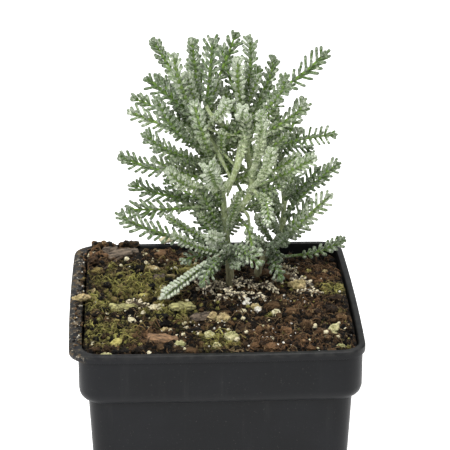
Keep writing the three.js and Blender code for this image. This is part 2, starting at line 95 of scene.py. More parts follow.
def selectOnly(piece):
    deselectAll()
    piece.select_set(True)
    bpy.context.view_layer.objects.active = piece


def takeNew(name):
    # the primitive just added, under its own name
    piece = bpy.context.object
    piece.name = name
    piece.data.name = name
    return piece


def applyPlace(piece):
    selectOnly(piece)
    bpy.ops.object.transform_apply(location=True, rotation=True, scale=True)


def applyModifiers(piece):
    selectOnly(piece)
    for modifier in list(piece.modifiers):
        bpy.ops.object.modifier_apply(modifier=modifier.name)


def joinAll(pieces, name):
    deselectAll()
    for piece in pieces:
        piece.select_set(True)
    bpy.context.view_layer.objects.active = pieces[0]
    bpy.ops.object.join()
    return takeNew(name)


def smooth(piece, degrees):
    selectOnly(piece)
    bpy.ops.object.shade_smooth_by_angle(angle=math.radians(degrees))


@contextmanager
def editMode(selection=None):
    # the active mesh open for editing, with all of it selected or what was selected before
    bpy.ops.object.mode_set(mode="EDIT")
    if selection:
        bpy.ops.mesh.select_all(action=selection)
    yield
    bpy.ops.object.mode_set(mode="OBJECT")


def faceOutwards(piece):
    selectOnly(piece)
    with editMode("SELECT"):
        bpy.ops.mesh.normals_make_consistent(inside=False)


def roughen(piece, size, strength, kind="CLOUDS"):
    # a displace modifier with a procedural pattern of about the given size, in metres
    pattern = bpy.data.textures.new(f"{piece.name}Rough", kind)
    pattern.noise_scale = size
    modifier = piece.modifiers.new("rough", "DISPLACE")
    modifier.texture = pattern
    modifier.texture_coords = "LOCAL"
    modifier.strength = strength


def makeTube(name, path, radii, steps, sides):
    # a round rod along a smooth path, both in millimetres, with closed ends
    line = bpy.data.curves.new(name, "CURVE")
    line.dimensions = "3D"
    line.bevel_depth = millimetre
    line.bevel_resolution = sides
    line.resolution_u = steps
    line.use_fill_caps = True
    spline = line.splines.new("BEZIER")
    spline.bezier_points.add(len(path) - 1)
    for i, (spot, point) in enumerate(zip(path, spline.bezier_points)):
        point.co = Vector(spot) * millimetre
        point.handle_left_type = "AUTO"
        point.handle_right_type = "AUTO"
        point.radius = between(radii, i / (len(path) - 1))
    piece = bpy.data.objects.new(name, line)
    bpy.context.scene.collection.objects.link(piece)
    selectOnly(piece)
    bpy.ops.object.convert(target="MESH")
    return bpy.context.object


def copyOf(piece, name):
    twin = piece.copy()
    twin.data = piece.data.copy()
    twin.name = name
    bpy.context.scene.collection.objects.link(twin)
    return twin


def coordinatesOf(mesh):
    flat = np.empty(len(mesh.vertices) * 3)
    mesh.vertices.foreach_get("co", flat)
    return flat.reshape(-1, 3)


def setCoordinates(mesh, points):
    mesh.vertices.foreach_set("co", np.ascontiguousarray(points).ravel())
    mesh.update()


def paintPoints(mesh, name, red, green=0.0, blue=0.0):
    # a point colour whose channels are each one number or one for every point
    channels = [np.broadcast_to(channel, len(mesh.vertices)) for channel in (red, green, blue, 1.0)]
    attribute = mesh.attributes.new(name, "FLOAT_COLOR", "POINT")
    attribute.data.foreach_set("color", np.stack(channels, axis=1).ravel())


def finishPiece(piece, finish, replaced=()):
    material, slot = finishes[finish]
    piece.data.materials.clear()
    piece.data.materials.append(material)
    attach(piece, body)
    if replaced:
        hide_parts(*replaced)


# Building blocks for the materials

class Finish:
    # a node material that is written row by row
    def __init__(self, name):
        self.material = bpy.data.materials.new(name)
        self.material.use_nodes = True
        self.tree = self.material.node_tree
        self.shader = self.tree.nodes["Principled BSDF"]
        self.place = self.tree.nodes.new("ShaderNodeTexCoord").outputs["Object"]

    def node(self, kind, inputs=None, **settings):
        made = self.tree.nodes.new(kind)
        for key, value in settings.items():
            setattr(made, key, value)
        for key, value in (inputs or {}).items():
            self.put(made.inputs[key], value)
        return made

    def put(self, socket, value):
        if isinstance(value, bpy.types.NodeSocket):
            self.tree.links.new(value, socket)
        else:
            socket.default_value = value

    def axes(self):
        # the place on the part in metres: across, in depth and in height
        return self.node("ShaderNodeSeparateXYZ", {"Vector": self.place}).outputs

    def attribute(self, name):
        made = self.node("ShaderNodeAttribute", attribute_name=name)
        return self.node("ShaderNodeSeparateColor", {"Color": made.outputs["Color"]}).outputs

    def noise(self, scale, detail=4.0, roughness=0.6, place=None):
        inputs = {"Vector": place or self.place, "Scale": scale, "Detail": detail, "Roughness": roughness}
        return self.node("ShaderNodeTexNoise", inputs).outputs["Fac"]

    def stretched(self, scale):
        return self.node("ShaderNodeMapping", {"Vector": self.place, "Scale": scale}).outputs["Vector"]

    def ramp(self, value, low, high):
        inputs = {"Value": value, "From Min": low, "From Max": high}
        return self.node("ShaderNodeMapRange", inputs, interpolation_type="SMOOTHSTEP").outputs["Result"]

    def maths(self, operation, first, second=0.0):
        made = self.node("ShaderNodeMath", operation=operation)
        self.put(made.inputs[0], first)
        self.put(made.inputs[1], second)
        return made.outputs[0]

    def times(self, first, second):
        return self.maths("MULTIPLY", first, second)

    def plus(self, first, second):
        return self.maths("ADD", first, second)

    def blend(self, share, first, second):
        made = self.node("ShaderNodeMix", data_type="RGBA")
        self.put(made.inputs[0], share)
        self.put(made.inputs[6], first)
        self.put(made.inputs[7], second)
        return made.outputs[2]

    def graded(self, value, span, dark, light):
        # from a dark tint to a light one while the value crosses the span
        return self.blend(self.ramp(value, *span), srgb(*dark), srgb(*light))

    def over(self, colour, mask, share, tint):
        # a tint laid over the colour where the mask is, as strong as the share
        return self.blend(self.times(mask, share), colour, srgb(*tint))

    def relief(self, height, strength, distance):
        inputs = {"Height": height, "Strength": strength, "Distance": distance}
        self.put(self.shader.inputs["Normal"], self.node("ShaderNodeBump", inputs).outputs["Normal"])

    def finish(self, colour, roughness, **fixed):
        self.put(self.shader.inputs["Base Color"], colour)
        self.put(self.shader.inputs["Roughness"], roughness)
        for key, value in fixed.items():
            self.shader.inputs[key.replace("_", " ")].default_value = value
        return self.material


# Camera, lights and floor

view = {
    "target": (2.85, 0.0, 106.74),
    "azimuth": -2.52,
    "elevation": 21.98,
    "distance": 637.7,
    "lens": 163.9,
    "sensor": 36.0,
}


def makeCamera():
    turn = math.radians(view["azimuth"])
    lift = math.radians(view["elevation"])
    back = Vector((math.sin(turn) * math.cos(lift), -math.cos(turn) * math.cos(lift), math.sin(lift)))
    target = Vector(view["target"]) * millimetre
    data = bpy.data.cameras.new("camera")
    data.lens = view["lens"]
    data.sensor_width = view["sensor"]
    data.clip_start = 0.01
    camera = bpy.data.objects.new("camera", data)
    camera.location = target + back * view["distance"] * millimetre
    camera.rotation_euler = (-back).to_track_quat("-Z", "Y").to_euler()
    bpy.context.scene.collection.objects.link(camera)
    bpy.context.scene.camera = camera


studio = {
    "worldLight": 0.58,
    "lamps": [
        # name, place, size, watts: all in metres, aimed at the plant
        ("keyLamp", (-0.4, -0.65, 0.95), 0.32, 12.0),
        ("topLamp", (0.15, 0.2, 1.1), 0.6, 7.0),
        ("fillLamp", (0.8, -0.45, 0.5), 0.6, 1.2),
    ],
    "aim": (0.0, 0.0, 0.1),
    "floorSize": 8.0,
    "floorShade": 0.86,
    "floorGlow": 0.55,
}


def makeStudio():
    scene = bpy.context.scene
    scene.view_settings.view_transform = "Standard"
    world = bpy.data.worlds.new("studioAir")
    world.use_nodes = True
    world.node_tree.nodes["Background"].inputs["Color"].default_value = (1, 1, 1, 1)
    world.node_tree.nodes["Background"].inputs["Strength"].default_value = studio["worldLight"]
    scene.world = world
    for name, place, size, watts in studio["lamps"]:
        data = bpy.data.lights.new(name, "AREA")
        data.size = size
        data.energy = watts
        lamp = bpy.data.objects.new(name, data)
        lamp.location = place
        away = Vector(place) - Vector(studio["aim"])
        lamp.rotation_euler = (-away).to_track_quat("-Z", "Y").to_euler()
        scene.collection.objects.link(lamp)
    deselectAll()
    bpy.ops.mesh.primitive_plane_add(size=studio["floorSize"])
    floor = takeNew("floor")
    paint = Finish("paleFloor")
    shade = studio["floorShade"]
    light = (shade, shade, shade, 1)
    dark = (shade * 0.98, shade * 0.98, shade * 0.97, 1)
    grain = paint.blend(paint.noise(60.0), light, dark)
    floor.data.materials.append(paint.finish(grain, 0.9, Emission_Strength=studio["floorGlow"]))
    paint.shader.inputs["Emission Color"].default_value = (1, 1, 1, 1)


makeCamera()
makeStudio()
print("camera and studio are set")


# Materials: tints are paint chart values, from dark to light where there are two

potTints = {
    "skin": ((12, 13, 15), (19, 20, 23)),
    "dust": (60, 60, 58),
    # dust and a painted highlight on the lip's flat
    "lip": (36, 36, 35),
    "soiled": (92, 78, 58),
    "chalk": (150, 142, 126),
    "speckle": (120, 118, 112),
}
# where dirt and a painted highlight start and where they are full, in metres: dust and a painted highlight on
# the lip's flat, dirt towards the left lip and up to it
potDirtAndHighlight = {"flat": (0.0812, 0.0826), "leftwards": (-0.039, -0.043), "upwards": (0.078, 0.082)}
soilTints = {
    "peat": ((10, 8, 5), (112, 86, 58)),
    "redPeat": ((24, 16, 10), (150, 114, 80)),
    "moss": ((21, 22, 6), (214, 208, 118)),
    "oldMoss": ((36, 26, 14), (190, 160, 112)),
    "straw": (182, 156, 112),
    # painted shade, near black, for the soil's cracks and the undersides of crumbs
    "crack": (5, 4, 3),
}
leafTints = {
    "ribDeep": (92, 125, 36),
    "ribFresh": (154, 178, 90),
    "lobeDeep": (60, 88, 22),
    "lobeMid": (112, 140, 56),
    "felt": (178, 188, 167),
    "feltBright": (228, 232, 214),
    # the two shaded felt tints are painted shade: warmer and a little darker felt for the plant's middle
    "feltShaded": (174, 184, 145),
    "feltShadedBright": (218, 225, 193),
    "tip": (84, 96, 74),
    "dry": (228, 216, 182),
    "dryDeep": (64, 50, 32),
}
# painted shade in the plant's middle, which makes its felt warmer and a little darker, in metres: its middle
# across, and where it starts and is full to either side, below its top, above its foot and behind the leaves
# in front
bushShade = {
    "middle": 0.005,
    "aside": (0.026, 0.01),
    "top": (0.15, 0.132),
    "foot": (0.1, 0.112),
    "front": (-0.012, -0.003),
}
stemTints = {
    "young": ((112, 126, 74), (166, 178, 130)),
    "wool": (196, 204, 174),
    "woody": ((92, 88, 62), (158, 154, 116)),
}


def potPlastic():
    paint = Finish("potPlastic")
    across, _, height = paint.axes()
    cloud = paint.noise(45.0, 5.0)
    colour = paint.graded(cloud, (0.3, 0.8), *potTints["skin"])
    streaks = paint.noise(1.0, 6.0, 0.7, paint.stretched((240.0, 240.0, 18.0)))
    colour = paint.over(colour, paint.ramp(streaks, 0.56, 0.8), 0.15, potTints["dust"])
    # dust and a painted highlight: the pot's top edge lighter in patches
    dustAndHighlight = paint.ramp(paint.noise(380.0, 5.0), 0.3, 0.7)
    colour = paint.over(colour, paint.ramp(height, *potDirtAndHighlight["flat"]), dustAndHighlight, potTints["lip"])
    leftLip = paint.times(paint.ramp(across, *potDirtAndHighlight["leftwards"]), paint.ramp(height, *potDirtAndHighlight["upwards"]))
    soiled = paint.times(leftLip, paint.ramp(paint.noise(420.0, 6.0, 0.68), 0.5, 0.58))
    colour = paint.over(colour, soiled, 0.8, potTints["soiled"])
    chalk = paint.times(leftLip, paint.ramp(paint.noise(760.0, 5.0, 0.7), 0.57, 0.62))
    colour = paint.over(colour, chalk, 0.7, potTints["chalk"])
    speckle = paint.ramp(paint.noise(1500.0, 2.0), 0.66, 0.75)
    colour = paint.over(colour, speckle, 0.1, potTints["speckle"])
    rough = paint.plus(paint.times(cloud, 0.2), 0.33)
    rough = paint.plus(rough, paint.times(soiled, 0.3))
    paint.relief(paint.noise(2600.0, 3.0), 0.12, 0.0003)
    return paint.finish(colour, rough, Specular_IOR_Level=0.15)


def pottingMix():
    paint = Finish("pottingMix")
    groundAndShade = paint.attribute("groundAndShade")
    tone = paint.attribute("tone")["Red"]
    coarse = paint.noise(340.0, 8.0, 0.72)
    fine = paint.noise(1500.0, 6.0, 0.7)
    lively = paint.plus(paint.times(coarse, 0.55), paint.times(tone, 0.45))
    crumbly = paint.plus(paint.times(fine, 0.6), paint.times(tone, 0.4))
    peat = paint.graded(lively, (0.38, 0.76), *soilTints["peat"])
    redPeat = paint.graded(crumbly, (0.34, 0.76), *soilTints["redPeat"])
    colour = paint.blend(groundAndShade["Green"], peat, redPeat)
    moss = paint.graded(crumbly, (0.32, 0.74), *soilTints["moss"])
    oldMoss = paint.graded(fine, (0.4, 0.66), *soilTints["oldMoss"])
    old = paint.times(paint.ramp(paint.noise(420.0, 5.0, 0.7), 0.52, 0.62), 0.75)
    colour = paint.blend(groundAndShade["Red"], colour, paint.blend(old, moss, oldMoss))
    straw = paint.ramp(paint.noise(900.0, 3.0, 0.5, paint.stretched((1.0, 0.3, 1.0))), 0.63, 0.69)
    colour = paint.over(colour, straw, 0.7, soilTints["straw"])
    # painted shade: near black deep in the soil's cracks and on the undersides of crumbs, moss and lip dirt
    colour = paint.over(colour, paint.ramp(groundAndShade["Blue"], 0.0, 0.6), 1.0, soilTints["crack"])
    wet = paint.ramp(paint.noise(210.0, 4.0), 0.4, 0.62)
    rough = paint.maths("SUBTRACT", 0.82, paint.times(wet, 0.44))
    paint.relief(paint.plus(coarse, paint.times(fine, 0.8)), 1.0, 0.0018)
    return paint.finish(colour, rough, Specular_IOR_Level=0.2)


def grainy(name, low, high, spots, film=0.0):
    # a crumbly mineral lump with darker spots as painted shade in its pits, and a green film in patches
    paint = Finish(name)
    fine = paint.noise(900.0, 6.0, 0.65)
    colour = paint.graded(fine, (0.3, 0.7), low, high)
    green = paint.ramp(paint.noise(360.0, 4.0, 0.6), 0.46, 0.62)
    colour = paint.over(colour, green, film, (104, 112, 48))
    # painted shade: dark spots for the shade inside pits
    pits = paint.ramp(paint.noise(630.0, 6.0, 0.75), 0.54, 0.66)
    colour = paint.over(colour, pits, 0.85, spots)
    paint.relief(fine, 0.8, 0.0007)
    return paint.finish(colour, 0.9)


def barkWood(name, low, high):
    # thin layers along the grain, with dark patches
    paint = Finish(name)
    layers = paint.noise(1.0, 7.0, 0.7, paint.stretched((260.0, 1100.0, 1400.0)))
    colour = paint.graded(layers, (0.34, 0.66), low, high)
    dark = paint.ramp(paint.noise(700.0, 5.0), 0.56, 0.7)
    colour = paint.over(colour, dark, 0.6, (30, 22, 16))
    paint.relief(layers, 0.8, 0.0006)
    return paint.finish(colour, 0.88)


def feltedLeaf():
    # growth: red from foot to end of a lobe, green how silvery the leaf is, blue whether it is dead
    paint = Finish("feltedLeaf")
    growth = paint.attribute("growth")
    along, silver, dead = growth["Red"], growth["Green"], growth["Blue"]
    tint = {name: srgb(*value) for name, value in leafTints.items()}
    hair = paint.noise(2600.0, 4.0, 0.6)
    fleck = paint.noise(1050.0, 4.0, 0.65)
    patch = paint.noise(260.0, 3.0)
    rib = paint.blend(silver, tint["ribDeep"], tint["ribFresh"])
    lobe = paint.blend(paint.ramp(silver, 0.0, 0.85), tint["lobeDeep"], tint["lobeMid"])
    colour = paint.blend(paint.ramp(along, 0.02, 0.35), rib, lobe)
    woolly = paint.plus(fleck, paint.times(silver, 0.3))
    woolly = paint.plus(woolly, paint.times(patch, 0.3))
    woolly = paint.times(paint.ramp(woolly, 0.62, 0.91), paint.ramp(along, 0.18, 0.6))
    hairy = paint.ramp(hair, 0.35, 0.65)
    felt = paint.blend(hairy, tint["felt"], tint["feltBright"])
    # painted shade: the felt in the plant's middle is warmer and a little darker
    inner = paint.blend(hairy, tint["feltShaded"], tint["feltShadedBright"])
    colour = paint.blend(woolly, colour, paint.blend(bushShadeMask(paint), felt, inner))
    ends = paint.times(paint.ramp(along, 0.68, 0.96), paint.maths("SUBTRACT", 1.0, silver))
    colour = paint.blend(ends, colour, tint["tip"])
    crisp = paint.times(paint.ramp(fleck, 0.42, 0.54), paint.ramp(along, 0.1, 0.6))
    colour = paint.blend(dead, colour, paint.blend(crisp, tint["dryDeep"], tint["dry"]))
    paint.relief(paint.plus(hair, fleck), 0.6, 0.0004)
    return paint.finish(colour, 0.82, Sheen_Weight=0.4, Sheen_Roughness=0.45)


def bushShadeMask(paint):
    # where the painted shade in the plant's middle lies: full in its middle, fading to its sides, top, foot
    # and front
    across, depth, height = paint.axes()
    aside = paint.maths("ABSOLUTE", paint.maths("SUBTRACT", across, bushShade["middle"]))
    heights = paint.times(paint.ramp(height, *bushShade["top"]), paint.ramp(height, *bushShade["foot"]))
    heights = paint.times(heights, paint.ramp(depth, *bushShade["front"]))
    return paint.times(paint.ramp(aside, *bushShade["aside"]), heights)


def feltedStem():
    # growth: red from green wood to old wood
    paint = Finish("feltedStem")
    growth = paint.attribute("growth")
    grain = paint.noise(1.0, 6.0, 0.65, paint.stretched((900.0, 900.0, 240.0)))
    wool = paint.noise(1300.0, 5.0, 0.65)
    young = paint.graded(grain, (0.3, 0.7), *stemTints["young"])
    young = paint.over(young, paint.ramp(wool, 0.48, 0.68), 1.0, stemTints["wool"])
    woody = paint.graded(grain, (0.3, 0.7), *stemTints["woody"])
    paint.relief(paint.plus(grain, wool), 0.8, 0.0005)
    return paint.finish(paint.blend(growth["Red"], young, woody), 0.85, Sheen_Weight=0.2)


finishes = {
    # each finish has its material and the slot of the record that it fills
    "pot": (potPlastic(), "pot_plastic"),
    "soil": (pottingMix(), "potting_mix"),
    "leaf": (feltedLeaf(), "foliage"),
    "stem": (feltedStem(), "foliage"),
    "greyBark": (barkWood("greyBark", (40, 32, 25), (120, 105, 88)), "bark"),
    "mossyBark": (barkWood("mossyBark", (84, 78, 46), (188, 184, 124)), "bark"),
    "redBark": (barkWood("redBark", (54, 38, 26), (154, 120, 86)), "red_bark"),
    "darkTwig": (barkWood("darkTwig", (30, 22, 16), (86, 68, 50)), "twig_wood"),
    "straw": (barkWood("straw", (74, 58, 38), (168, 144, 104)), "twig_wood"),
    # the third tint of a mineral is the painted shade in its pits
    "tan": (grainy("tanMineral", (120, 102, 66), (206, 186, 140), (44, 34, 22), 0.3), "tan_mineral"),
    "mossy": (grainy("mossyMineral", (132, 128, 86), (206, 200, 156), (52, 52, 26), 0.5), "mossy_mineral"),
    "pale": (grainy("paleMineral", (176, 166, 126), (228, 220, 190), (84, 72, 46), 0.2), "pale_mineral"),
    "yellow": (grainy("yellowMineral", (126, 116, 52), (198, 188, 116), (62, 56, 24), 0.4), "mossy_mineral"),
    "white": (grainy("whiteGrit", (190, 186, 168), (240, 237, 228), (92, 84, 68)), "pale_mineral"),
}
print("materials are mixed")


# Pot: a rounded square drawn up, out and over in level steps, then down the inside

pot = {
    "height": 83.0,
    "wall": 1.2,
    "floorThickness": 2.0,
    "baseHalf": 37.0,
    "bodyTopHalf": 40.0,
    "collarHalf": 42.7,
    "collarBottom": 66.2,
    "collarRound": 3.6,
    "cornerRadius": 6.5,
    "cornerTaper": 0.3,
    "wallBow": 0.5,
    "lipHeight": 2.4,
    "lipOverhang": {"left": 2.8, "right": 0.8, "front": 0.9, "back": 0.6},
    "footWidth": 5.0,
    "crossHalf": 4.5,
    "footDepth": 0.9,
    "drainRadius": 3.5,
    "drainEase": 1.5,
    "cornerSteps": 8,
    "sideSteps": 10,
}


def cornerAt(half):
    return pot["cornerRadius"] - (pot["collarHalf"] - half) * pot["cornerTaper"]


def overhangTowards(x, y):
    over = pot["lipOverhang"]
    acrossPart = over["left"] if x < 0 else over["right"]
    depthPart = over["front"] if y < 0 else over["back"]
    return acrossPart * x * x + depthPart * y * y


def squareRing(half, flare=0.0):
    # places of one level ring, in millimetres: slightly bowed sides and round corners
    radius = cornerAt(half)
    straight = half - radius
    spots = []
    for side in range(4):
        turn = side * math.pi / 2
        marks = []
        for i in range(pot["sideSteps"]):
            t = -1 + (2 * i + 1) / pot["sideSteps"]
            marks.append((t * straight, half + pot["wallBow"] * (1 - t * t), 0.0))
        for i in range(pot["cornerSteps"] + 1):
            angle = i / pot["cornerSteps"] * math.pi / 2
            marks.append((straight + radius * math.sin(angle), straight + radius * math.cos(angle), angle))
        for across, out, angle in marks:
            over = flare * overhangTowards(math.cos(turn + angle), math.sin(turn + angle))
            reach = out + over * math.cos(angle)
            sway = across + over * math.sin(angle)
            x = reach * math.cos(turn) - sway * math.sin(turn)
            y = reach * math.sin(turn) + sway * math.cos(turn)
            spots.append((x, y))
    return spots


def shapeRing(piece, corners, spots, z):
    for corner, (x, y) in zip(corners, spots):
        piece.data.vertices[corner].co = Vector((x, y, z)) * millimetre


def extrudeSelected(piece):
    with editMode():
        bpy.ops.mesh.extrude_region_move()
    return [v.index for v in piece.data.vertices if v.select]


def makePot():
    # levels: height, half width, share of the lip's overhang
    p = pot
    innerTop = p["collarHalf"] - p["wall"]
    full = p["collarBottom"] + p["collarRound"]
    lipBottom = p["height"] - p["lipHeight"]
    levels = [
        (0.0, p["baseHalf"] - 0.8, 0.0),
        (0.4, p["baseHalf"] - 0.3, 0.0),
        (1.2, p["baseHalf"], 0.0),
        (24.0, mix(p["baseHalf"], p["bodyTopHalf"], 0.36), 0.0),
        (46.0, mix(p["baseHalf"], p["bodyTopHalf"], 0.69), 0.0),
        (p["collarBottom"], p["bodyTopHalf"], 0.0),
        (p["collarBottom"] + 0.15, p["bodyTopHalf"] + 1.1, 0.0),
        (p["collarBottom"] + 0.6, p["bodyTopHalf"] + 1.6, 0.0),
        (p["collarBottom"] + 1.6, p["bodyTopHalf"] + 2.25, 0.0),
        (p["collarBottom"] + 2.6, p["bodyTopHalf"] + 2.55, 0.0),
        (full, p["collarHalf"], 0.0),
        (mix(full, lipBottom, 0.5), p["collarHalf"], 0.0),
        (lipBottom - 0.3, p["collarHalf"], 0.0),
        (lipBottom - 0.1, p["collarHalf"], 0.5),
        (lipBottom + 0.1, p["collarHalf"], 0.92),
        (lipBottom + 0.5, p["collarHalf"], 1.0),
        (p["height"] - 0.8, p["collarHalf"], 1.0),
        (p["height"] - 0.35, p["collarHalf"], 0.93),
        (p["height"] - 0.08, p["collarHalf"] - 0.2, 0.8),
        (p["height"], p["collarHalf"] - 0.4, 0.6),
        (p["height"], innerTop + 0.4, 0.0),
        (p["height"] - 0.25, innerTop + 0.1, 0.0),
        (p["height"] - 0.8, innerTop, 0.0),
        (full, innerTop, 0.0),
        (p["collarBottom"], p["bodyTopHalf"] - p["wall"], 0.0),
        (p["floorThickness"], p["baseHalf"] - p["wall"], 0.0),
    ]
    deselectAll()
    ringSize = 4 * (p["sideSteps"] + p["cornerSteps"] + 1)
    bpy.ops.mesh.primitive_circle_add(vertices=ringSize, radius=0.04, fill_type="NGON")
    piece = takeNew("nurseryPot")
    corners = list(range(ringSize))
    shapeRing(piece, corners, squareRing(levels[0][1]), levels[0][0])
    for polygon in piece.data.polygons:
        polygon.select = True
    for z, half, flare in levels[1:]:
        corners = extrudeSelected(piece)
        shapeRing(piece, corners, squareRing(half, flare), z)
    faceOutwards(piece)
    cutDrains(piece)
    smooth(piece, 40)
    finishPiece(piece, "pot", ["pot"])


def cutDrains(piece):
    outer = pot["baseHalf"] - pot["footWidth"]
    size = outer - pot["crossHalf"]
    middle = (outer + pot["crossHalf"]) / 2
    cutters = []
    for sideX, sideY in ((-1, -1), (1, -1), (1, 1), (-1, 1)):
        spot = Vector((sideX * middle, sideY * middle, 0)) * millimetre
        deselectAll()
        bpy.ops.mesh.primitive_cube_add(size=1, location=spot)
        bpy.context.object.scale = Vector((size, size, pot["footDepth"] * 2)) * millimetre
        bpy.ops.object.transform_apply(location=False, rotation=False, scale=True)
        with editMode("SELECT"):
            bpy.ops.mesh.bevel(offset=pot["drainEase"] * millimetre, segments=3, affect="EDGES")
        cutters.append(bpy.context.object)
        deselectAll()
        depth = pot["floorThickness"] * 4 * millimetre
        bpy.ops.mesh.primitive_cylinder_add(
            vertices=40, radius=pot["drainRadius"] * millimetre, depth=depth, location=spot
        )
        cutters.append(bpy.context.object)
    for cutter in cutters:
        modifier = piece.modifiers.new("drain", "BOOLEAN")
        modifier.operation = "DIFFERENCE"
        modifier.solver = "MANIFOLD"
        modifier.object = cutter
        applyModifiers(piece)
        bpy.data.objects.remove(cutter)


makePot()
print("pot is moulded")


# Loose bits and where they lie

looseBits = [
    # node, finish, size, turn, tilt
    ("bark_chip_back", "greyBark", (9, 5.5, 2.6), 12, -12),
    ("bark_chip_front_left", "mossyBark", (8.5, 4, 2.4), 24, 8),
    ("bark_chip_front", "greyBark", (6.5, 3.4, 2.6), 30, 10),
    ("bark_chip_red", "redBark", (10.5, 5, 2.2), -6, 6),
    ("tan_lump", "tan", (5.2, 4.6, 4), 15, 0),
    ("mossy_lump_left", "mossy", (4.2, 4, 3.2), 40, 0),
    ("mossy_lump_right", "mossy", (5.4, 4.6, 3.8), -20, 0),
    ("mossy_lump_front", "mossy", (3.4, 3.2, 2.6), 10, 0),
    ("pale_stone", "pale", (4.6, 4.2, 4.6), 20, 0),
    ("white_bit_left", "white", (3.4, 2.8, 2.6), 35, 0),
    ("white_bit_right", "white", (3.6, 3, 2.6), -30, 0),
    ("tan_lump_back", "tan", (5, 4.4, 3.6), 0, 0),
    ("tan_lump_right", "tan", (7, 5.4, 4.6), -24, 0),
    ("yellow_lump", "yellow", (3.6, 3, 2.6), 0, 0),
    ("pale_lump_right", "mossy", (3.8, 3, 2.4), 0, 0),
    ("tan_lump_on_lip", "tan", (6.4, 3.2, 2.8), 9, 0),
    ("cream_lump_on_rim", "pale", (5.6, 2.9, 2.9), -4, 0),
]
smallBits = [
    # finish, place, size, turn: smaller ones that the solids leave out, joined by their finish
    ("pale", (-26.8, -16.4), (2.6, 2.4, 2.3), 0),
    ("pale", (-21.6, -20.3), (1.8, 1.7, 1.6), 30),
    ("mossyBark", (-29.3, -4.3), (8.6, 4.4, 2.4), 36),
    ("pale", (-19.3, -6.3), (4.4, 3.8, 3), 20),
    ("yellow", (-23.1, 4.2), (6, 2, 1.6), 20),
    ("pale", (-22.1, 35.9), (2.4, 1.8, 1.6), -10),
    ("pale", (-39.6, 34.1), (2.6, 2.2, 2), 15),
    ("pale", (-37.8, 23.9), (1.5, 1.4, 1.2), 0),
    ("white", (-36.0, 3.8), (2.2, 1.1, 1), -8),
    ("tan", (-19.9, 24.8), (5.4, 3, 2), -12),
    ("greyBark", (-17.1, 18.1), (5, 3.6, 2), 40),
    ("tan", (-14.1, 20.4), (4, 3, 2.2), 10),
    ("pale", (-16.6, 10.0), (2.6, 2.2, 2.2), 0),
    ("tan", (-1.5, -14.5), (3.6, 3, 3), 50),
    ("mossy", (-34.3, -38.2), (4.2, 2, 1.8), 0),
    ("yellow", (-31.4, -28.5), (3.4, 5, 1.8), -30),
    ("mossy", (-12.1, -32.9), (3.6, 2.6, 2), 20),
    ("mossy", (36.3, -34.3), (3.2, 2, 1.4), 10),
    ("mossy", (35.2, -23.5), (3.2, 4.6, 1.8), -24),
    ("tan", (12.2, -7.6), (3.4, 2.8, 2.6), 20),
    ("white", (9.4, -1.3), (2.8, 2.2, 1.8), 0),
    ("tan", (36.5, 22.3), (2.2, 2, 1.8), 0),
    ("tan", (23.1, 27.1), (5, 4, 2.4), -20),
    ("pale", (22.6, -38.8), (1.8, 1.5, 1.2), 0),
    ("pale", (8.0, -10.4), (2.4, 2, 1.8), 0),
    ("greyBark", (-27.4, 37.5), (6, 3.4, 2), 10),
    ("greyBark", (-33.8, 39.4), (5, 3.4, 2), -20),
    ("tan", (-5.1, 29.2), (2.6, 2, 1.8), 0),
    ("tan", (-38.9, 9.0), (2.2, 1.8, 1.5), 0),
    ("tan", (-37.4, 11.4), (2, 1.5, 1.3), 20),
    ("pale", (-39.6, 5.6), (1.6, 1.4, 1.2), 0),
    ("yellow", (-26.8, 0.6), (2.4, 1.6, 1.4), 30),
    ("tan", (-16.4, -21.4), (3.2, 2, 1.4), 10),
]


def bitBeds():
    # middle and half size of every loose bit, seen from above in millimetres
    beds = [(x, y, size[0] / 2, size[1] / 2) for _, (x, y), size, _ in smallBits]
    for node, *_ in looseBits:
        low, high = (np.array(corner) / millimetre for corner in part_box(node))
        beds.append((*(low + high)[:2] / 2, *(high - low)[:2] / 2))
    return np.array(beds)


# Soil: the same heaps and crumbs as the solid, on a finer grid, with fine grain of its own

soil = {
    "clearance": 0.3,
    "level": 80.2,
    "cells": 230,
    # middle, radius and rise of each broad heap or hollow
    "heaps": [(-30, 34, 20.5, 1.9), (6, -4, 22.4, 1.2), (-6, -36, 22.4, 1.1), (30, 36, 20, -1.6)],
    "rimHeaps": [(42, 12, 9, 2.0), (42, -4, 9, 2.0), (41, -22, 10, 1.7), (-41, 30, 9, 1.3), (-42, 0, 9, 1.3)],
    "rimFade": 16,
    "crumbCount": 90,
    "crumbSeed": 7,
    "crumbRadius": (1.8, 4.2),
    "crumbHeight": (-0.9, 1.1),
    # size and height of the clods, the crumbs on them and the grains on those
    "grain": [(4.8, 1.45), (2.2, 1.0), (1.05, 0.5)],
    "grainMean": 0.6,
    "grainSway": (3, 2.0),
    "crackEdge": 5,
    "bedEase": 0.45,
    "bedDepth": 0.35,
}
# middle and radius of the patches of each kind of ground
zones = {
    "moss": [
        (-25, 12, 17), (-36, -2, 10), (-34, -24, 11), (-14, -10, 11), (-7, 22, 10), (0, -31, 8), (38, 4, 7),
    ],
    "redPeat": [(-38, 34, 11), (35, 20, 14), (19, -33, 16), (-21, -27, 10), (-12, 33, 7), (30, -8, 10)],
    # specks: where white grit lies thick, partly real grit and partly painted highlights for wet glints
    "specks": [(31, 8, 5), (7, -13, 5), (24, -4, 7), (10, -4, 7), (-5, -26, 12), (16, -30, 10)],
    "cream": [
        (8, -2, 8), (24, 16, 8), (-20, 30, 9), (-24, -4, 12), (-4, -22, 10), (34, -26, 7), (2, -30, 6),
    ],
}
# how a patch ends: its reach, how sharply it fades, and size, seed and strength of its ragged edge
zoneEdge = {"reach": 1.25, "gain": 1.4, "floor": 0.35, "ragged": [(3.1, 4.0, 0.55), (1.2, 9.0, 0.4)]}


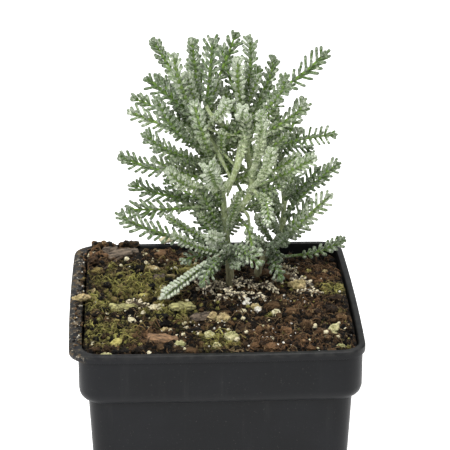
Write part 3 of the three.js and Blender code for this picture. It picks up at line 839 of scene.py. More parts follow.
def soilBumps():
    draw = seededDraws(soil["crumbSeed"])
    sides = (-pot["bodyTopHalf"], pot["bodyTopHalf"])
    bumps = soil["heaps"] + soil["rimHeaps"]
    for _ in range(soil["crumbCount"]):
        x = between(sides, draw())
        y = between(sides, draw())
        radius = between(soil["crumbRadius"], draw())
        bumps.append((x, y, radius, between(soil["crumbHeight"], draw())))
    return np.array(bumps)


bumps = soilBumps()
beds = bitBeds()


def bedShare(x, y):
    # 1 under a loose bit, 0 well clear of it
    away = np.hypot((x - beds[:, 0]) / beds[:, 2], (y - beds[:, 1]) / beds[:, 3]).min()
    return min(1.0, max(0.0, (1 + soil["bedEase"] - away) / soil["bedEase"]))


def soilHeight(x, y):
    away = ((x - bumps[:, 0]) ** 2 + (y - bumps[:, 1]) ** 2) / bumps[:, 2] ** 2
    return soil["level"] + float((bumps[:, 3] * np.exp(-away)).sum())


def drift(x, y, size, seed):
    # a soft sway between about -1 and 1, whose waves have the given size in millimetres
    return noise.noise(Vector((x / size, y / size, seed)))


def soilGrain(x, y):
    # clods with cracks between them: the rise in millimetres, how deep in a crack, which sets the painted
    # shade there, and the tone
    sway = drift(x, y, *soil["grainSway"])
    rise, crackShade, tone = 0.0, 0.0, 0.0
    for size, height in soil["grain"]:
        away, middles = noise.voronoi(Vector(((x + sway) / size, (y - sway) / size, size * 3.7)))
        gap = min(1.0, (away[1] - away[0]) * soil["crackEdge"])
        rise += height * (gap * (2 - gap) - soil["grainMean"])
        crackShade = max(crackShade, (1 - gap) ** 2 * min(1.0, height))
        tone += (0.5 + 0.5 * noise.cell(middles[0] * 9)) / len(soil["grain"])
    return mix(rise, min(rise, -soil["bedDepth"]), bedShare(x, y)), crackShade, tone


def surfaceAt(x, y):
    return soilHeight(x, y) + soilGrain(x, y)[0]


def zoneShare(kind, x, y):
    # how far a spot belongs to a kind of ground, with a ragged edge
    ragged, best = 0.0, 0.0
    for size, seed, strength in zoneEdge["ragged"]:
        ragged += drift(x, y, size, seed) * strength
    for zoneX, zoneY, radius in zones[kind]:
        away = math.hypot(x - zoneX, y - zoneY) / radius
        best = max(best, zoneEdge["reach"] - away + ragged)
    return min(1.0, max(0.0, best * zoneEdge["gain"] - zoneEdge["floor"]))


def soilSpot(u, v, half):
    # the unit square's rim follows the pot's round corners
    edge = max(abs(u), abs(v))
    if edge == 0:
        return 0.0, 0.0
    radius = cornerAt(half)
    straight = half - radius
    shorter = min(abs(u), abs(v)) / edge * half
    angle = max(0.0, shorter - straight) / radius * math.pi / 4
    longReach = straight + radius * math.cos(angle) if angle > 0 else half
    shortReach = straight + radius * math.sin(angle) if angle > 0 else shorter
    wideFirst = abs(u) >= abs(v)
    rimX = math.copysign(longReach if wideFirst else shortReach, u)
    rimY = math.copysign(shortReach if wideFirst else longReach, v)
    pull = edge ** 4
    return mix(half * u, rimX, pull), mix(half * v, rimY, pull)


def makeSoil():
    topHalf = pot["collarHalf"] - pot["wall"] - soil["clearance"]
    deselectAll()
    bpy.ops.mesh.primitive_grid_add(x_subdivisions=soil["cells"], y_subdivisions=soil["cells"], size=2)
    piece = takeNew("pottingMix")
    spots = []
    for u, v, _ in coordinatesOf(piece.data):
        x, y = soilSpot(u, v, topHalf)
        rise, crackShade, tone = soilGrain(x, y)
        height = soilHeight(x, y) + rise * (1 - max(abs(u), abs(v)) ** soil["rimFade"])
        spots.append((x, y, height, zoneShare("moss", x, y), zoneShare("redPeat", x, y), crackShade, tone))
    spots = np.array(spots)
    setCoordinates(piece.data, spots[:, :3] * millimetre)
    # the blue channel is painted shade, darkest deep in the cracks
    paintPoints(piece.data, "groundAndShade", spots[:, 3], spots[:, 4], spots[:, 5])
    paintPoints(piece.data, "tone", spots[:, 6])
    lowerSides(piece, topHalf)
    smooth(piece, 80)
    finishPiece(piece, "soil", ["soil"])


def lowerSides(piece, topHalf):
    # walls down the inside of the pot and a flat underside
    inset = pot["wall"] + soil["clearance"]
    levels = [
        (pot["collarBottom"] + pot["collarRound"] + soil["clearance"], topHalf),
        (pot["collarBottom"] + soil["clearance"], pot["bodyTopHalf"] - inset),
        (pot["floorThickness"] + soil["clearance"], pot["baseHalf"] - inset),
    ]
    with editMode("DESELECT"):
        bpy.ops.mesh.select_mode(type="VERT")
        bpy.ops.mesh.select_non_manifold()
    wide = topHalf
    for z, half in levels:
        for corner in extrudeSelected(piece):
            place = piece.data.vertices[corner].co
            place.xy = place.xy * (half / wide)
            place.z = z * millimetre
        wide = half
    with editMode():
        bpy.ops.mesh.edge_face_add()
    faceOutwards(piece)


makeSoil()
print("soil is heaped")


# Loose bits: each rough lump or chip fills the place of its solid

bitLook = {
    "fill": 0.99,
    "knobs": 0.5,
    "crags": -0.3,
    "pits": 0.26,
    "layers": 0.2,
    "worn": 0.42,
    "rest": 0.22,
    "tiltShare": 0.3,
}


def makeLump(name, size):
    # a ball pushed in and out into knobs, crags and pits
    deselectAll()
    bpy.ops.mesh.primitive_ico_sphere_add(subdivisions=5, radius=0.5)
    piece = takeNew(name)
    piece.scale = size
    applyPlace(piece)
    small = min(size)
    roughen(piece, small * 0.6, small * bitLook["knobs"])
    roughen(piece, small * 0.45, small * bitLook["crags"], "VORONOI")
    roughen(piece, small * 0.12, small * bitLook["pits"])
    applyModifiers(piece)
    return piece


def makeChip(name, size):
    # a worn, rounded block in thin layers
    deselectAll()
    bpy.ops.mesh.primitive_cube_add(size=1)
    piece = takeNew(name)
    piece.scale = size
    applyPlace(piece)
    small = min(size)
    with editMode("SELECT"):
        bpy.ops.mesh.bevel(offset=small * bitLook["worn"], segments=3, affect="EDGES")
        bpy.ops.mesh.subdivide(number_cuts=6)
    roughen(piece, size[1] * 0.8, small * bitLook["knobs"] * 1.6)
    roughen(piece, size[1] * 0.3, small * bitLook["knobs"])
    roughen(piece, small * 0.3, small * bitLook["layers"], "WOOD")
    applyModifiers(piece)
    return piece


def makeBit(name, finish, size):
    full = [s * millimetre for s in size]
    return makeChip(name, full) if "Bark" in finish else makeLump(name, full)


def fitToNode(piece, node, turn, tilt):
    # turned as its solid is, then stretched to the solid's box
    piece.data.transform(turned(turn, tilt))
    low, high = (np.array(corner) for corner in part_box(node))
    points = coordinatesOf(piece.data)
    size = points.max(0) - points.min(0)
    points = (points - points.min(0)) / size
    middle = (low + high) / 2
    setCoordinates(piece.data, middle + (points - 0.5) * (high - low) * bitLook["fill"])


def pieceName(node):
    first, *others = node.split("_")
    return first + "".join(word.capitalize() for word in others)


def makeLooseBits():
    for node, finish, size, turn, tilt in looseBits:
        piece = makeBit(pieceName(node), finish, size)
        fitToNode(piece, node, turn, tilt)
        smooth(piece, 50)
        finishPiece(piece, finish, [node])


def makeSmallBits():
    made = {}
    for finish, (x, y), size, turn in smallBits:
        piece = makeBit("bit", finish, size)
        spot = Vector((x, y, surfaceAt(x, y) + size[2] * bitLook["rest"])) * millimetre
        piece.data.transform(Matrix.Translation(spot) @ turned(turn, turn * bitLook["tiltShare"]))
        made.setdefault(finish, []).append(piece)
    for finish, pieces in made.items():
        piece = joinAll(pieces, f"{finish}Bits")
        smooth(piece, 50)
        finishPiece(piece, finish)


makeLooseBits()
makeSmallBits()
print("loose bits lie in the soil")


# Crumbs, moss, specks and fibres over the soil: all but the fibres modelled once or a few times, then copied,
# and each fibre drawn on its own

scatter = {
    # how many, their size in millimetres, how flat they are, how far they sink in, and the seed
    "peatCrumbs": {"count": 620, "size": (0.9, 2.5), "flat": (0.6, 0.95), "sink": 0.25, "seed": 11},
    "peatClods": {"count": 75, "size": (2.6, 4.6), "flat": (0.45, 0.7), "sink": 0.12, "seed": 12},
    "mossTufts": {"count": 1100, "size": (0.6, 1.7), "flat": (0.7, 1.1), "sink": 0.2, "seed": 13},
    "mossStrands": {"count": 2600, "size": (0.9, 3.4), "flat": (0.7, 1.4), "sink": 0.3, "seed": 19},
    # white grit, partly put where the soil has wet glints, as painted highlights
    "whiteGritAndGlints": {"count": 170, "size": (0.3, 0.95), "flat": (0.7, 1.0), "sink": -0.1, "seed": 14},
    "creamBits": {"count": 130, "size": (0.6, 1.8), "flat": (0.6, 0.9), "sink": 0.0, "seed": 15},
    "lipDirt": {"count": 150, "size": (0.25, 1.1), "flat": (0.5, 0.9), "sink": 0.1, "seed": 17},
    "lipClods": {"count": 46, "size": (1.0, 3.0), "flat": (0.6, 0.9), "sink": 0.1, "seed": 20},
    "lipGrit": {"count": 24, "size": (0.25, 0.6), "flat": (0.5, 0.9), "sink": 0.1, "seed": 18},
}
fibres = {"count": 200, "length": (1.6, 5.0), "radii": (0.1, 0.05), "bow": (-0.35, 0.35), "seed": 16}
# strips of the lip that carry dirt, across and in depth, with most of it where a strip starts
lipStrips = {
    "lipDirt": ((-41.7, -44.3), (-36, 38)),
    "lipClods": ((-39, -24), (41.2, 42.6)),
    "lipGrit": ((-41.7, -44.3), (-36, 38)),
}
# how far from the wall copies stay, how common small and inner ones are, how they tip and rise, and how far
# up and how strongly painted shade darkens their undersides
scatterLook = {
    "inset": 1.3,
    "smallBias": 1.6,
    "innerBias": 1.7,
    "tip": (-0.6, 0.6),
    "lift": 0.6,
    "shadeBelow": 0.35,
    "shade": 0.7,
}
# how far light crumbs are mossy on mossy ground, and the tone from which they are
crumbLook = {"moss": 0.7, "mossAbove": 0.55}
# how tufts and strands thicken into patches, how brown tufts get, and the tones of both: patches and brown
# spots are given by their size and seed
mossLook = {
    "least": 0.03,
    "patches": (2.4, 5.0),
    "patchShare": (0.12, 1.0),
    "patchMiddle": 0.45,
    "patchGain": 2.5,
    "strandsLeast": 0.2,
    "strandsOnPeat": 0.6,
    "brown": (1.7, 8.0),
    "brownGain": 1.6,
    "brownMost": 0.7,
    "tuftTone": (0.15, 1.1),
    "tuftBias": 1.4,
    "strandTone": (0.35, 1.1),
}


def insidePot(x, y, inset):
    half = pot["collarHalf"] - pot["wall"] - inset
    radius = cornerAt(half)
    beyond = math.hypot(max(0.0, abs(x) - half + radius), max(0.0, abs(y) - half + radius))
    return beyond < radius


def soilSpots(rule, draw, wanted):
    # clear of the loose bits, and as thick as each kind of ground wants them
    spots = []
    sides = (-pot["collarHalf"], pot["collarHalf"])
    while len(spots) < rule["count"]:
        x = between(sides, draw())
        y = between(sides, draw())
        clear = insidePot(x, y, scatterLook["inset"]) and bedShare(x, y) < 0.5
        if clear and draw() < wanted(x, y):
            spots.append((x, y, surfaceAt(x, y)))
    return spots


def lipSpots(rule, draw, strip):
    across, depth = strip
    spots = []
    for _ in range(rule["count"]):
        x = between(across, draw() ** scatterLook["innerBias"])
        spots.append((x, between(depth, draw()), pot["height"]))
    return spots


def everywhere(x, y):
    return 1.0


def mostlyOn(kind, least):
    # full on its own kind of ground and thin off it
    return lambda x, y: mix(least, 1.0, zoneShare(kind, x, y))


def onMoss(x, y):
    low, high = mossLook["patchShare"]
    patch = mossLook["patchMiddle"] + drift(x, y, *mossLook["patches"]) * mossLook["patchGain"]
    return mossLook["least"] + zoneShare("moss", x, y) * min(high, max(low, patch))


def amongStrands(x, y):
    onPeat = mossLook["strandsOnPeat"] * zoneShare("redPeat", x, y)
    return max(mossLook["strandsLeast"], onMoss(x, y), onPeat)


def crumbGround(x, y, tone):
    # what a crumb is made of, as for tufts and strands: its share of moss and of red peat, and its tone
    mossy = crumbLook["moss"] * zoneShare("moss", x, y) if tone > crumbLook["mossAbove"] else 0.0
    return mossy, zoneShare("redPeat", x, y), tone


def mossGround(x, y, tone):
    brown = max(0.0, drift(x, y, *mossLook["brown"])) * mossLook["brownGain"]
    light = between(mossLook["tuftTone"], tone ** mossLook["tuftBias"])
    return 1.0 - min(mossLook["brownMost"], brown), brown, light


def strandGround(x, y, tone):
    return zoneShare("moss", x, y), zoneShare("redPeat", x, y), between(mossLook["strandTone"], tone)


def crumbPatterns(count, divisions, rough, rougher=0.15):
    # balls one unit wide, each knobbier than the one before
    patterns = []
    for i in range(count):
        deselectAll()
        bpy.ops.mesh.primitive_ico_sphere_add(subdivisions=divisions, radius=0.5)
        piece = takeNew("crumb")
        strength = rough + rougher * i
        roughen(piece, 0.42, strength)
        roughen(piece, 0.2, strength * 0.5)
        applyModifiers(piece)
        patterns.append(piece)
    return patterns


def tuftPattern():
    # a small cushion of pointed shoots
    deselectAll()
    bpy.ops.mesh.primitive_ico_sphere_add(subdivisions=1, radius=0.22)
    piece = takeNew("tuft")
    with editMode("SELECT"):
        bpy.ops.mesh.poke(offset=0.5)
    roughen(piece, 0.3, 0.35)
    applyModifiers(piece)
    return piece


def strandPattern(rise):
    # a thin bent shoot, one unit long
    path = [(-0.5, 0, 0), (-0.2, 0.13, rise), (0.2, -0.1, rise * 1.2), (0.5, 0.06, 0.04)]
    piece = makeTube("strand", path, (0.06, 0.025), 1, 0)
    setCoordinates(piece.data, coordinatesOf(piece.data) / millimetre)
    return piece


def scatterCopies(name, patterns, wanted, groundOf):
    rule = scatter[name]
    draw = seededDraws(rule["seed"])
    spots = soilSpots(rule, draw, wanted) if wanted else lipSpots(rule, draw, lipStrips[name])
    copies = []
    for x, y, z in spots:
        size = between(rule["size"], draw() ** scatterLook["smallBias"])
        flat = between(rule["flat"], draw())
        turn = Matrix.Rotation(draw() * math.tau, 3, "Z")
        turn @= Matrix.Rotation(between(scatterLook["tip"], draw()), 3, "X")
        pattern = patterns[int(draw() * len(patterns))]
        twin = copyOf(pattern, name)
        points = (coordinatesOf(pattern.data) * size) @ np.array(turn).T * np.array((1, 1, flat))
        height = z + size * (0.5 * flat - rule["sink"]) * scatterLook["lift"]
        setCoordinates(twin.data, (points + np.array((x, y, height))) * millimetre)
        if groundOf:
            moss, red, tone = groundOf(x, y, draw())
            # painted shade on the copy's underside, strongest at its bottom
            low = np.clip(scatterLook["shadeBelow"] - (points[:, 2] / size), 0, 1) * scatterLook["shade"]
            paintPoints(twin.data, "groundAndShade", moss, red, low)
            paintPoints(twin.data, "tone", tone)
        copies.append(twin)
    piece = joinAll(copies, name)
    for pattern in patterns:
        bpy.data.objects.remove(pattern)
    smooth(piece, 45)
    return piece


def scatterOverSoil():
    strands = [strandPattern(0.12 + 0.14 * i) for i in range(3)]
    kinds = [
        # piece, finish, patterns, how thick it lies where (on the lip if nothing says so), what it is made of
        ("peatCrumbs", "soil", crumbPatterns(3, 2, 0.5), everywhere, crumbGround),
        ("peatClods", "soil", crumbPatterns(3, 3, 0.55), mostlyOn("redPeat", 0.35), crumbGround),
        ("mossTufts", "soil", [tuftPattern()], onMoss, mossGround),
        ("mossStrands", "soil", strands, amongStrands, strandGround),
        ("whiteGritAndGlints", "white", crumbPatterns(1, 1, 0.4), mostlyOn("specks", 0.06), None),
        ("creamBits", "pale", crumbPatterns(2, 2, 0.5, 0.2), mostlyOn("cream", 0.05), None),
        ("lipDirt", "soil", crumbPatterns(1, 2, 0.6), None, crumbGround),
        ("lipClods", "soil", crumbPatterns(1, 2, 0.6), None, crumbGround),
        ("lipGrit", "white", crumbPatterns(1, 1, 0.4), None, None),
    ]
    for name, finish, patterns, wanted, groundOf in kinds:
        finishPiece(scatterCopies(name, patterns, wanted, groundOf), finish)


def makeFibres():
    draw = seededDraws(fibres["seed"])
    rods = []
    for x, y, _ in soilSpots(fibres, draw, everywhere):
        angle = draw() * math.tau
        length = between(fibres["length"], draw())
        bow = between(fibres["bow"], draw()) * length
        path = []
        for share, lift in ((0.0, 0.1), (0.5, mix(0.5, 1.6, draw())), (1.0, 0.2)):
            along = (share - 0.5) * length
            side = bow * (1 - abs(share * 2 - 1))
            spotX = x + along * math.cos(angle) - side * math.sin(angle)
            spotY = y + along * math.sin(angle) + side * math.cos(angle)
            if insidePot(spotX, spotY, scatterLook["inset"] * 0.7):
                path.append((spotX, spotY, surfaceAt(spotX, spotY) + lift))
        if len(path) == 3:
            rods.append(makeTube("fibre", path, fibres["radii"], 3, 0))
    piece = joinAll(rods, "peatFibres")
    smooth(piece, 70)
    finishPiece(piece, "straw")


scatterOverSoil()
makeFibres()
print("crumbs, moss, specks and fibres are strewn")


# Stems

stemPaths = {
    "left": [
        (4.9, 10, 69.2), (4.9, 10, 83), (4.6, 10, 90), (3.9, 10, 97), (3.2, 9, 103),
        (2.8, 9, 110), (2, 9.5, 116), (-0.3, 9, 123), (-2.6, 8.4, 131), (-4.4, 8, 139), (-5, 8, 144),
    ],
    "leftBranch": [
        (3.1, 9, 104), (7.6, 8.2, 109), (11, 8, 114), (11.2, 9, 121),
        (10.2, 10, 128), (9, 11, 136), (9, 11.5, 142),
    ],
    "right": [
        (14.2, 18, 69.2), (14.2, 18, 82), (15.4, 18.4, 86), (18.2, 20, 90), (21.6, 21.6, 95),
        (22.8, 22, 103), (22.6, 22, 110), (21.8, 21, 118), (21.4, 20, 125),
    ],
}
stemRadii = {"left": (1.4, 0.65), "leftBranch": (1.15, 0.75), "right": (1.3, 0.6)}
# pale stalks between the stems: path, and radius at both ends
stalks = [
    ([(3.9, 6.5, 114), (4.6, 4, 118.1), (6.5, 3, 124.7), (8.8, 6.5, 134)], (0.4, 1.35)),
    ([(4.7, 3.2, 121), (2.6, 2.4, 126), (0.2, 2.2, 131), (-2.6, 4, 135.5)], (0.35, 1.0)),
    (
        [(-2.6, 8.4, 133), (-0.4, 3, 132.5), (2.1, 2.2, 130.1), (4.8, 2.8, 126.8), (6.4, 5, 124.2)],
        (0.4, 0.45),
    ),
    ([(-3.6, 8.2, 137), (0.5, 2.8, 136.4), (4.2, 2.4, 135.7), (9.2, 8, 134)], (0.4, 0.45)),
    ([(-3.4, 7.5, 146), (-1.6, 2.6, 142.6), (0.4, 2.2, 140.6), (2.4, 4.5, 138)], (0.7, 0.5)),
    ([(11, 8, 114.5), (12, 4, 116.4), (13.6, 1.4, 115.6), (15.6, 0.4, 112.5)], (0.8, 0.5)),
    ([(2.9, 9, 107.5), (5, 5.6, 110.2), (8, 4.6, 110.2), (9.9, 5, 108.4), (10.9, 7, 103)], (0.5, 0.5)),
]
stemLook = {"stepsAlong": 5, "woodyBelow": (86.0, 97.0), "lumpSize": 2.2, "lumps": 0.44}


def stemPoint(stem, height):
    path = stemPaths[stem]
    for i in range(len(path) - 1):
        low, high = Vector(path[i]), Vector(path[i + 1])
        if height <= high.z or i + 2 == len(path):
            return low.lerp(high, (height - low.z) / (high.z - low.z))
    return Vector(path[-1])


def makeStems(name, stems, extra=()):
    rods = [makeTube(f"{name}Stalk", path, radii, stemLook["stepsAlong"], 2) for path, radii in extra]
    for stem in stems:
        rods.append(makeTube(f"{name}{stem}", stemPaths[stem], stemRadii[stem], stemLook["stepsAlong"], 3))
    piece = joinAll(rods, name)
    roughen(piece, stemLook["lumpSize"] * millimetre, stemLook["lumps"] * millimetre)
    applyModifiers(piece)
    heights = coordinatesOf(piece.data)[:, 2] / millimetre
    low, high = stemLook["woodyBelow"]
    paintPoints(piece.data, "growth", 1 - np.clip((heights - low) / (high - low), 0, 1))
    smooth(piece, 70)
    finishPiece(piece, "stem")


makeStems("stemsLeft", ["left", "leftBranch"], stalks)
makeStems("stemRight", ["right"])
print("stems stand")


# Leaves: blunt felted fingers in four ranks along a bent rib

placedLeaves = [
    # stem, height where it leaves, middle, tip, kind, and for some the size of the lobes and the bare share
    ("left", 142, (-6, 7, 156), (-7, 6, 166), "dense"),
    ("left", 136, (-2, 3, 152), (-1, -2, 168), "open", 1.15),
    ("left", 139, (2, 13, 152), (7, 14, 165), "open"),
    ("leftBranch", 134, (4, 20, 142), (0, 22, 147), "usual", 0.9),
    ("leftBranch", 138, (7, 5, 151), (7, 2, 161), "silver"),
    ("leftBranch", 141, (11, 11, 156), (10, 10, 165), "dense", 1.1),
    ("leftBranch", 136, (13, 20, 146), (15, 24, 151), "usual", 0.8),
    ("leftBranch", 137, (17, 15, 149), (18, 16, 157), "usual", 0.9),
    ("left", 141, (-14, 12, 155), (-19, 12, 164), "dense"),
    ("left", 137, (-10, 0, 151), (-13, -4, 164), "usual", 1.1),
    ("left", 139, (-14, 4, 148), (-21, 2, 155), "open"),
    ("left", 134, (-18, 16, 140), (-26, 18, 143), "usual"),
    ("left", 131, (-17, 7, 138), (-27, 6, 143), "usual"),
    ("left", 128, (-12, -3, 139), (-18, -8, 152), "usual"),
    ("left", 124, (-14, -1, 132), (-22, -6, 140), "green", 1.1),
    ("left", 119, (-18, 10, 122), (-30, 10, 127), "usual"),
    ("left", 121, (-13, 20, 123), (-19, 22, 124), "usual", 0.8),
    ("left", 115, (-9, -4, 122), (-15, -10, 130), "silver"),
    ("left", 112, (-16, 16, 111), (-26, 20, 114), "green", 1.15),
    ("left", 110, (-14, 6, 110), (-28, 4, 111), "open", 1.15, 0.45),
    ("left", 96, (-17, 1, 104), (-30, -4, 113), "open", 1.1),
    ("left", 107, (-5, 13, 108), (-10, 16, 108), "usual", 0.7),
    ("left", 116, (0, -4, 122), (-3, -15, 132), "knitted", 1.1),
    ("left", 122, (-4, -4, 138), (-7, -6, 150), "usual"),
    ("leftBranch", 119, (14, -1, 135), (13, -5, 146), "broad"),
    ("leftBranch", 138, (8, -1, 143), (8, -10, 149), "silver", 0.9),
    ("left", 135, (1, 0, 143), (4, -8, 150), "silver", 0.9),
    ("left", 138, (-7, 3, 149), (-9, -1, 157), "silver", 0.9),
    ("left", 100, (0, -2, 103), (-3, -11, 108), "silver", 0.9),
    ("leftBranch", 112, (4, 13, 122), (-1, 15, 131), "usual"),
    ("left", 114, (8, 4, 128), (9, 1, 144), "broad", 0.9, 0.5),
    ("leftBranch", 139, (26, 9, 152), (34, 6, 161), "open", 1.15),
    ("leftBranch", 136, (19, 4, 147), (20, -2, 156), "usual", 0.9),
    ("leftBranch", 130, (22, 8, 138), (28, 4, 145), "usual", 1.1),
    ("right", 122, (19, 24, 127), (25, 28, 129), "usual", 0.8),
    ("leftBranch", 127, (27, 13, 130), (39, 14, 131), "comb"),
    ("leftBranch", 125, (21, 17, 126), (32, 23, 123), "green", 0.9),
    ("leftBranch", 115, (22, 2, 123), (31, -2, 130), "fresh", 1.1, 0.38),
    ("leftBranch", 115, (15, -2, 125), (17, -8, 135), "broad", 1.0, 0.4),
    ("right", 100, (31, 14, 114), (39, 8, 124), "usual"),
    ("right", 96, (26, 27, 103), (28, 31, 111), "usual", 0.8),
    ("right", 91, (27, 10, 103), (36, 4, 115), "usual", 1.1),
    ("right", 88, (32, 21, 88), (43, 22, 93), "dense", 1, 0.45),
    ("right", 98, (20, 27, 103), (20, 31, 107), "usual", 0.8),
    ("leftBranch", 114, (15, -4, 116), (15, -13, 111), "fineSilver"),
    ("left", 95, (-6, 2, 90.5), (-18, -6, 84.5), "beaded", 0.9),
    ("left", 92, (-1, 0, 93), (-5, -8, 89), "usual", 0.8),
    ("left", 93, (-5, 7, 94), (-11, 4, 92), "usual", 0.8),
    ("left", 96, (9, -2, 98), (14, -8, 96), "usual"),
    ("right", 89, (19, 9, 89), (21, 3, 85.5), "usual", 0.8),
    ("left", 104, (9, 6, 105), (12, 4, 97), "usual", 0.7),
]
# leaves by rule: stem, heights where they leave it, how many, middle direction, spread to each side, length
rearRows = [
    ("left", (98, 140), 8, 118, 55, (19, 25)),
    ("leftBranch", (118, 139), 4, 84, 50, (19, 25)),
    ("right", (90, 124), 6, 92, 55, (19, 25)),
]
youngRows = [
    ("left", (117, 142), 16, 110, 150, (12, 18)),
    ("leftBranch", (115, 141), 14, 80, 135, (12, 17)),
    ("right", (103, 124), 9, 0, 180, (11, 16)),
    ("left", (93, 112), 8, 165, 65, (12, 18)),
    ("left", (106, 141), 10, 85, 70, (13, 18)),
    ("right", (96, 122), 5, 100, 60, (11, 16)),
]
rear = {
    "seed": 295,
    "rise": (8, 52),
    "riseSway": (-6, 6),
    "tooth": (0.85, 1.1),
    "stalk": 0.28,
    "kinds": ["usual"],
}
young = {
    "seed": 5,
    "rise": (18, 66),
    "riseSway": (-12, 12),
    "tooth": (0.75, 0.95),
    "stalk": 0.2,
    "kinds": ["fine", "fineSilver", "usual"],
}
# for all leaves: the golden angle as a share of a turn, its sway, the rib's sag and how far it is rolled
growing = {"goldenShare": 0.618, "swingSway": 0.15, "sag": 0.06, "roll": (0.53, 1.05), "placedSeed": 296}

# leaves between the large ones: stem, height where they leave it or the spot on a stalk, tip and kind
innerLeaves = [
    ("left", 96, (-16, 2, 110), "fineSilver"),
    ("left", 93, (-14, -2, 105), "fineSilver"),
    ("left", 101, (7, -3, 119), "fineSilver"),
    ("right", 92, (13, 9, 107), "fineSilver"),
    ("right", 95, (17, 8, 107), "fineSilver"),
    ("right", 90, (10, 8, 102), "fine"),
    ("right", 104, (14, 12, 116), "fine"),
    ("right", 94, (32, 24, 106), "usual"),
    ("right", 92, (28, 12, 102), "usual"),
    ("leftBranch", 132, (21, 8, 146), "fine"),
    ("left", 119, (2, -1, 139), "fineSilver"),
    ("left", 118, (-20, 4, 128), "usual"),
    ("left", 110, (-16, 9, 119), "green"),
    ("left", 137, (-18, 14, 152), "green"),
    ("leftBranch", 119, (27, 6, 128), "fine"),
    ("right", 106, (33, 12, 121), "green"),
    ("left", 95, (-6, 14, 106), "green"),
    ("left", 94, (-8, 12, 101), "usual"),
    ("left", 99, (-5, 0, 120), "usual"),
    ("left", 94, (10, -2, 95), "fineSilver"),
    ("left", 95, (15, 2, 97), "fineSilver"),
    ("left", 94, (3, -3, 101), "fineSilver"),
    ("left", 93, (7, -4, 94), "fineSilver"),
    ("left", 97, (-1, -4, 103), "fineSilver"),
    ("left", 93, (-3, 2, 93), "green"),
    ("left", 92, (-5, -1, 91), "green"),
    ("right", 92, (21, 12, 89), "green"),
    ("left", 93, (12, 4, 100), "fine"),
    ("left", (10.6, 6.4, 104.5), (11.8, 2, 96.5), "fineSilver"),
    ("right", 91, (13, 3, 101), "fine"),
    ("right", 92, (22, 4, 101), "green"),
    ("right", 90, (17, 4, 98), "green"),
]
# dead leaves that lie curled on the soil: where one end and the other are
deadSpots = [
    ((0.5, 13.5), (9.5, 6.5)), ((-3, 9), (5, 1.5)), ((2, 4), (10, -1)), ((8, 12), (13.5, 4)),
    ((-6, 5), (0, 0.5)), ((4, 10), (-4, 3)), ((10, 3), (16, -3)), ((20, 33), (27, 18.5)),
    ((24, 20), (32, 7)), ((6, 0), (-1, -4)), ((12, 8), (20, 3)), ((-9, 16), (-2, 11)),
    ((26, 4), (34, -1)), ((-28, -1), (-20, -5)),
]
dead = {
    "seed": 21,
    "lift": (0.9, 2.0),
    "clear": 0.6,
    "bend": (-1.5, 1.5),
    "tooth": (0.8, 1.1),
    "stalk": 0.12,
}

leafLook = {
    "whorlStep": 2.12,
    "lobeLength": (1.7, 3.8),
    "lobeGrowth": 1.6,
    "lobeWidth": 1.06,
    "lean": (25, 47),
    "endLean": 54,
    "endLobe": 2.4,
    "endShare": 0.66,
    "lastShare": 1.1,
    "footFelt": 0.15,
    "footOut": 0.23,
    "ribWidth": 1.15,
    "ribSection": (1.15, 0.85),
    "ribShort": 1.4,
    "bareBeyond": 0.2,
    "bareFelt": 0.75,
    # how the lobes differ: in their rank, lean, place along the rib, length and thickness
    "rankSway": (-0.22, 0.22),
    "leanSway": (-8, 8),
    "slip": (-0.13, 0.13),
    "lengthSway": (0.82, 1.1),
    "thickSway": (0.88, 1.1),
    "swaySeed": 41,
}
# how far forward and up each ring of a lobe lies from the one before, and how much wider it is
lobeRings = [(0.0, 0.3, 1.1), (0.06, 0.34, 1.16), (0.08, 0.24, 1.02), (0.02, 0.09, 0.68)]
ribRings = [0.86, 0.9, 0.95, 0.97, 0.95, 0.92, 0.88, 0.8]
# leaves that differ in the photograph, in what they don't share with the usual one
leafKinds = {
    "usual": {
        "step": 1.0, "length": 1.0, "width": 1.0, "silver": (0.16, 0.4),
        "wild": 1.0, "upright": 0, "rib": 1.0, "ribFelt": 0.0, "dry": 0.0,
    },
    "open": {"step": 1.2, "length": 1.1, "width": 1.04, "silver": (0.08, 0.24)},
    "dense": {"step": 0.82, "length": 0.85, "width": 1.02, "silver": (0.12, 0.32)},
    "silver": {"step": 0.95, "length": 0.95, "width": 1.05, "silver": (0.5, 0.7)},
    "green": {"step": 1.05, "width": 0.95, "silver": (0.0, 0.18)},
    "knitted": {"step": 0.84, "length": 1.12, "silver": (0.5, 0.6), "wild": 0.3},
    "beaded": {"step": 0.6, "length": 0.64, "width": 1.12, "silver": (0.75, 0.9), "wild": 0.6, "upright": 14},
    "comb": {"step": 0.8, "length": 0.85, "width": 0.85, "silver": (0.16, 0.3), "wild": 0.7, "upright": 24},
    "broad": {"step": 0.8, "length": 0.85, "silver": (0.5, 0.65), "rib": 2.0, "ribFelt": 0.7},
    "fresh": {"step": 0.75, "length": 0.85, "width": 0.85, "silver": (0.35, 0.5), "rib": 1.4, "ribFelt": 0.2},
    "fine": {"step": 0.76, "length": 0.76, "width": 0.8, "silver": (0.2, 0.45)},
    "fineSilver": {"step": 0.74, "length": 0.74, "width": 0.82, "silver": (0.34, 0.58)},
    "dead": {"step": 0.62, "length": 0.6, "width": 0.66, "silver": (0.3, 0.9), "wild": 5.0, "dry": 1.0},
}
Leaf = namedtuple("Leaf", "stem base middle tip tooth stalk roll kind")


def placedLeaf(roll, stem, height, middle, tip, kind, tooth=1.0, stalk=rear["stalk"]):
    return Leaf(stem, stemPoint(stem, height), Vector(middle), Vector(tip), tooth, stalk, roll, kind)


def placedByHand():
    draw = seededDraws(growing["placedSeed"])
    return [placedLeaf(between(growing["roll"], draw()), *row) for row in placedLeaves]


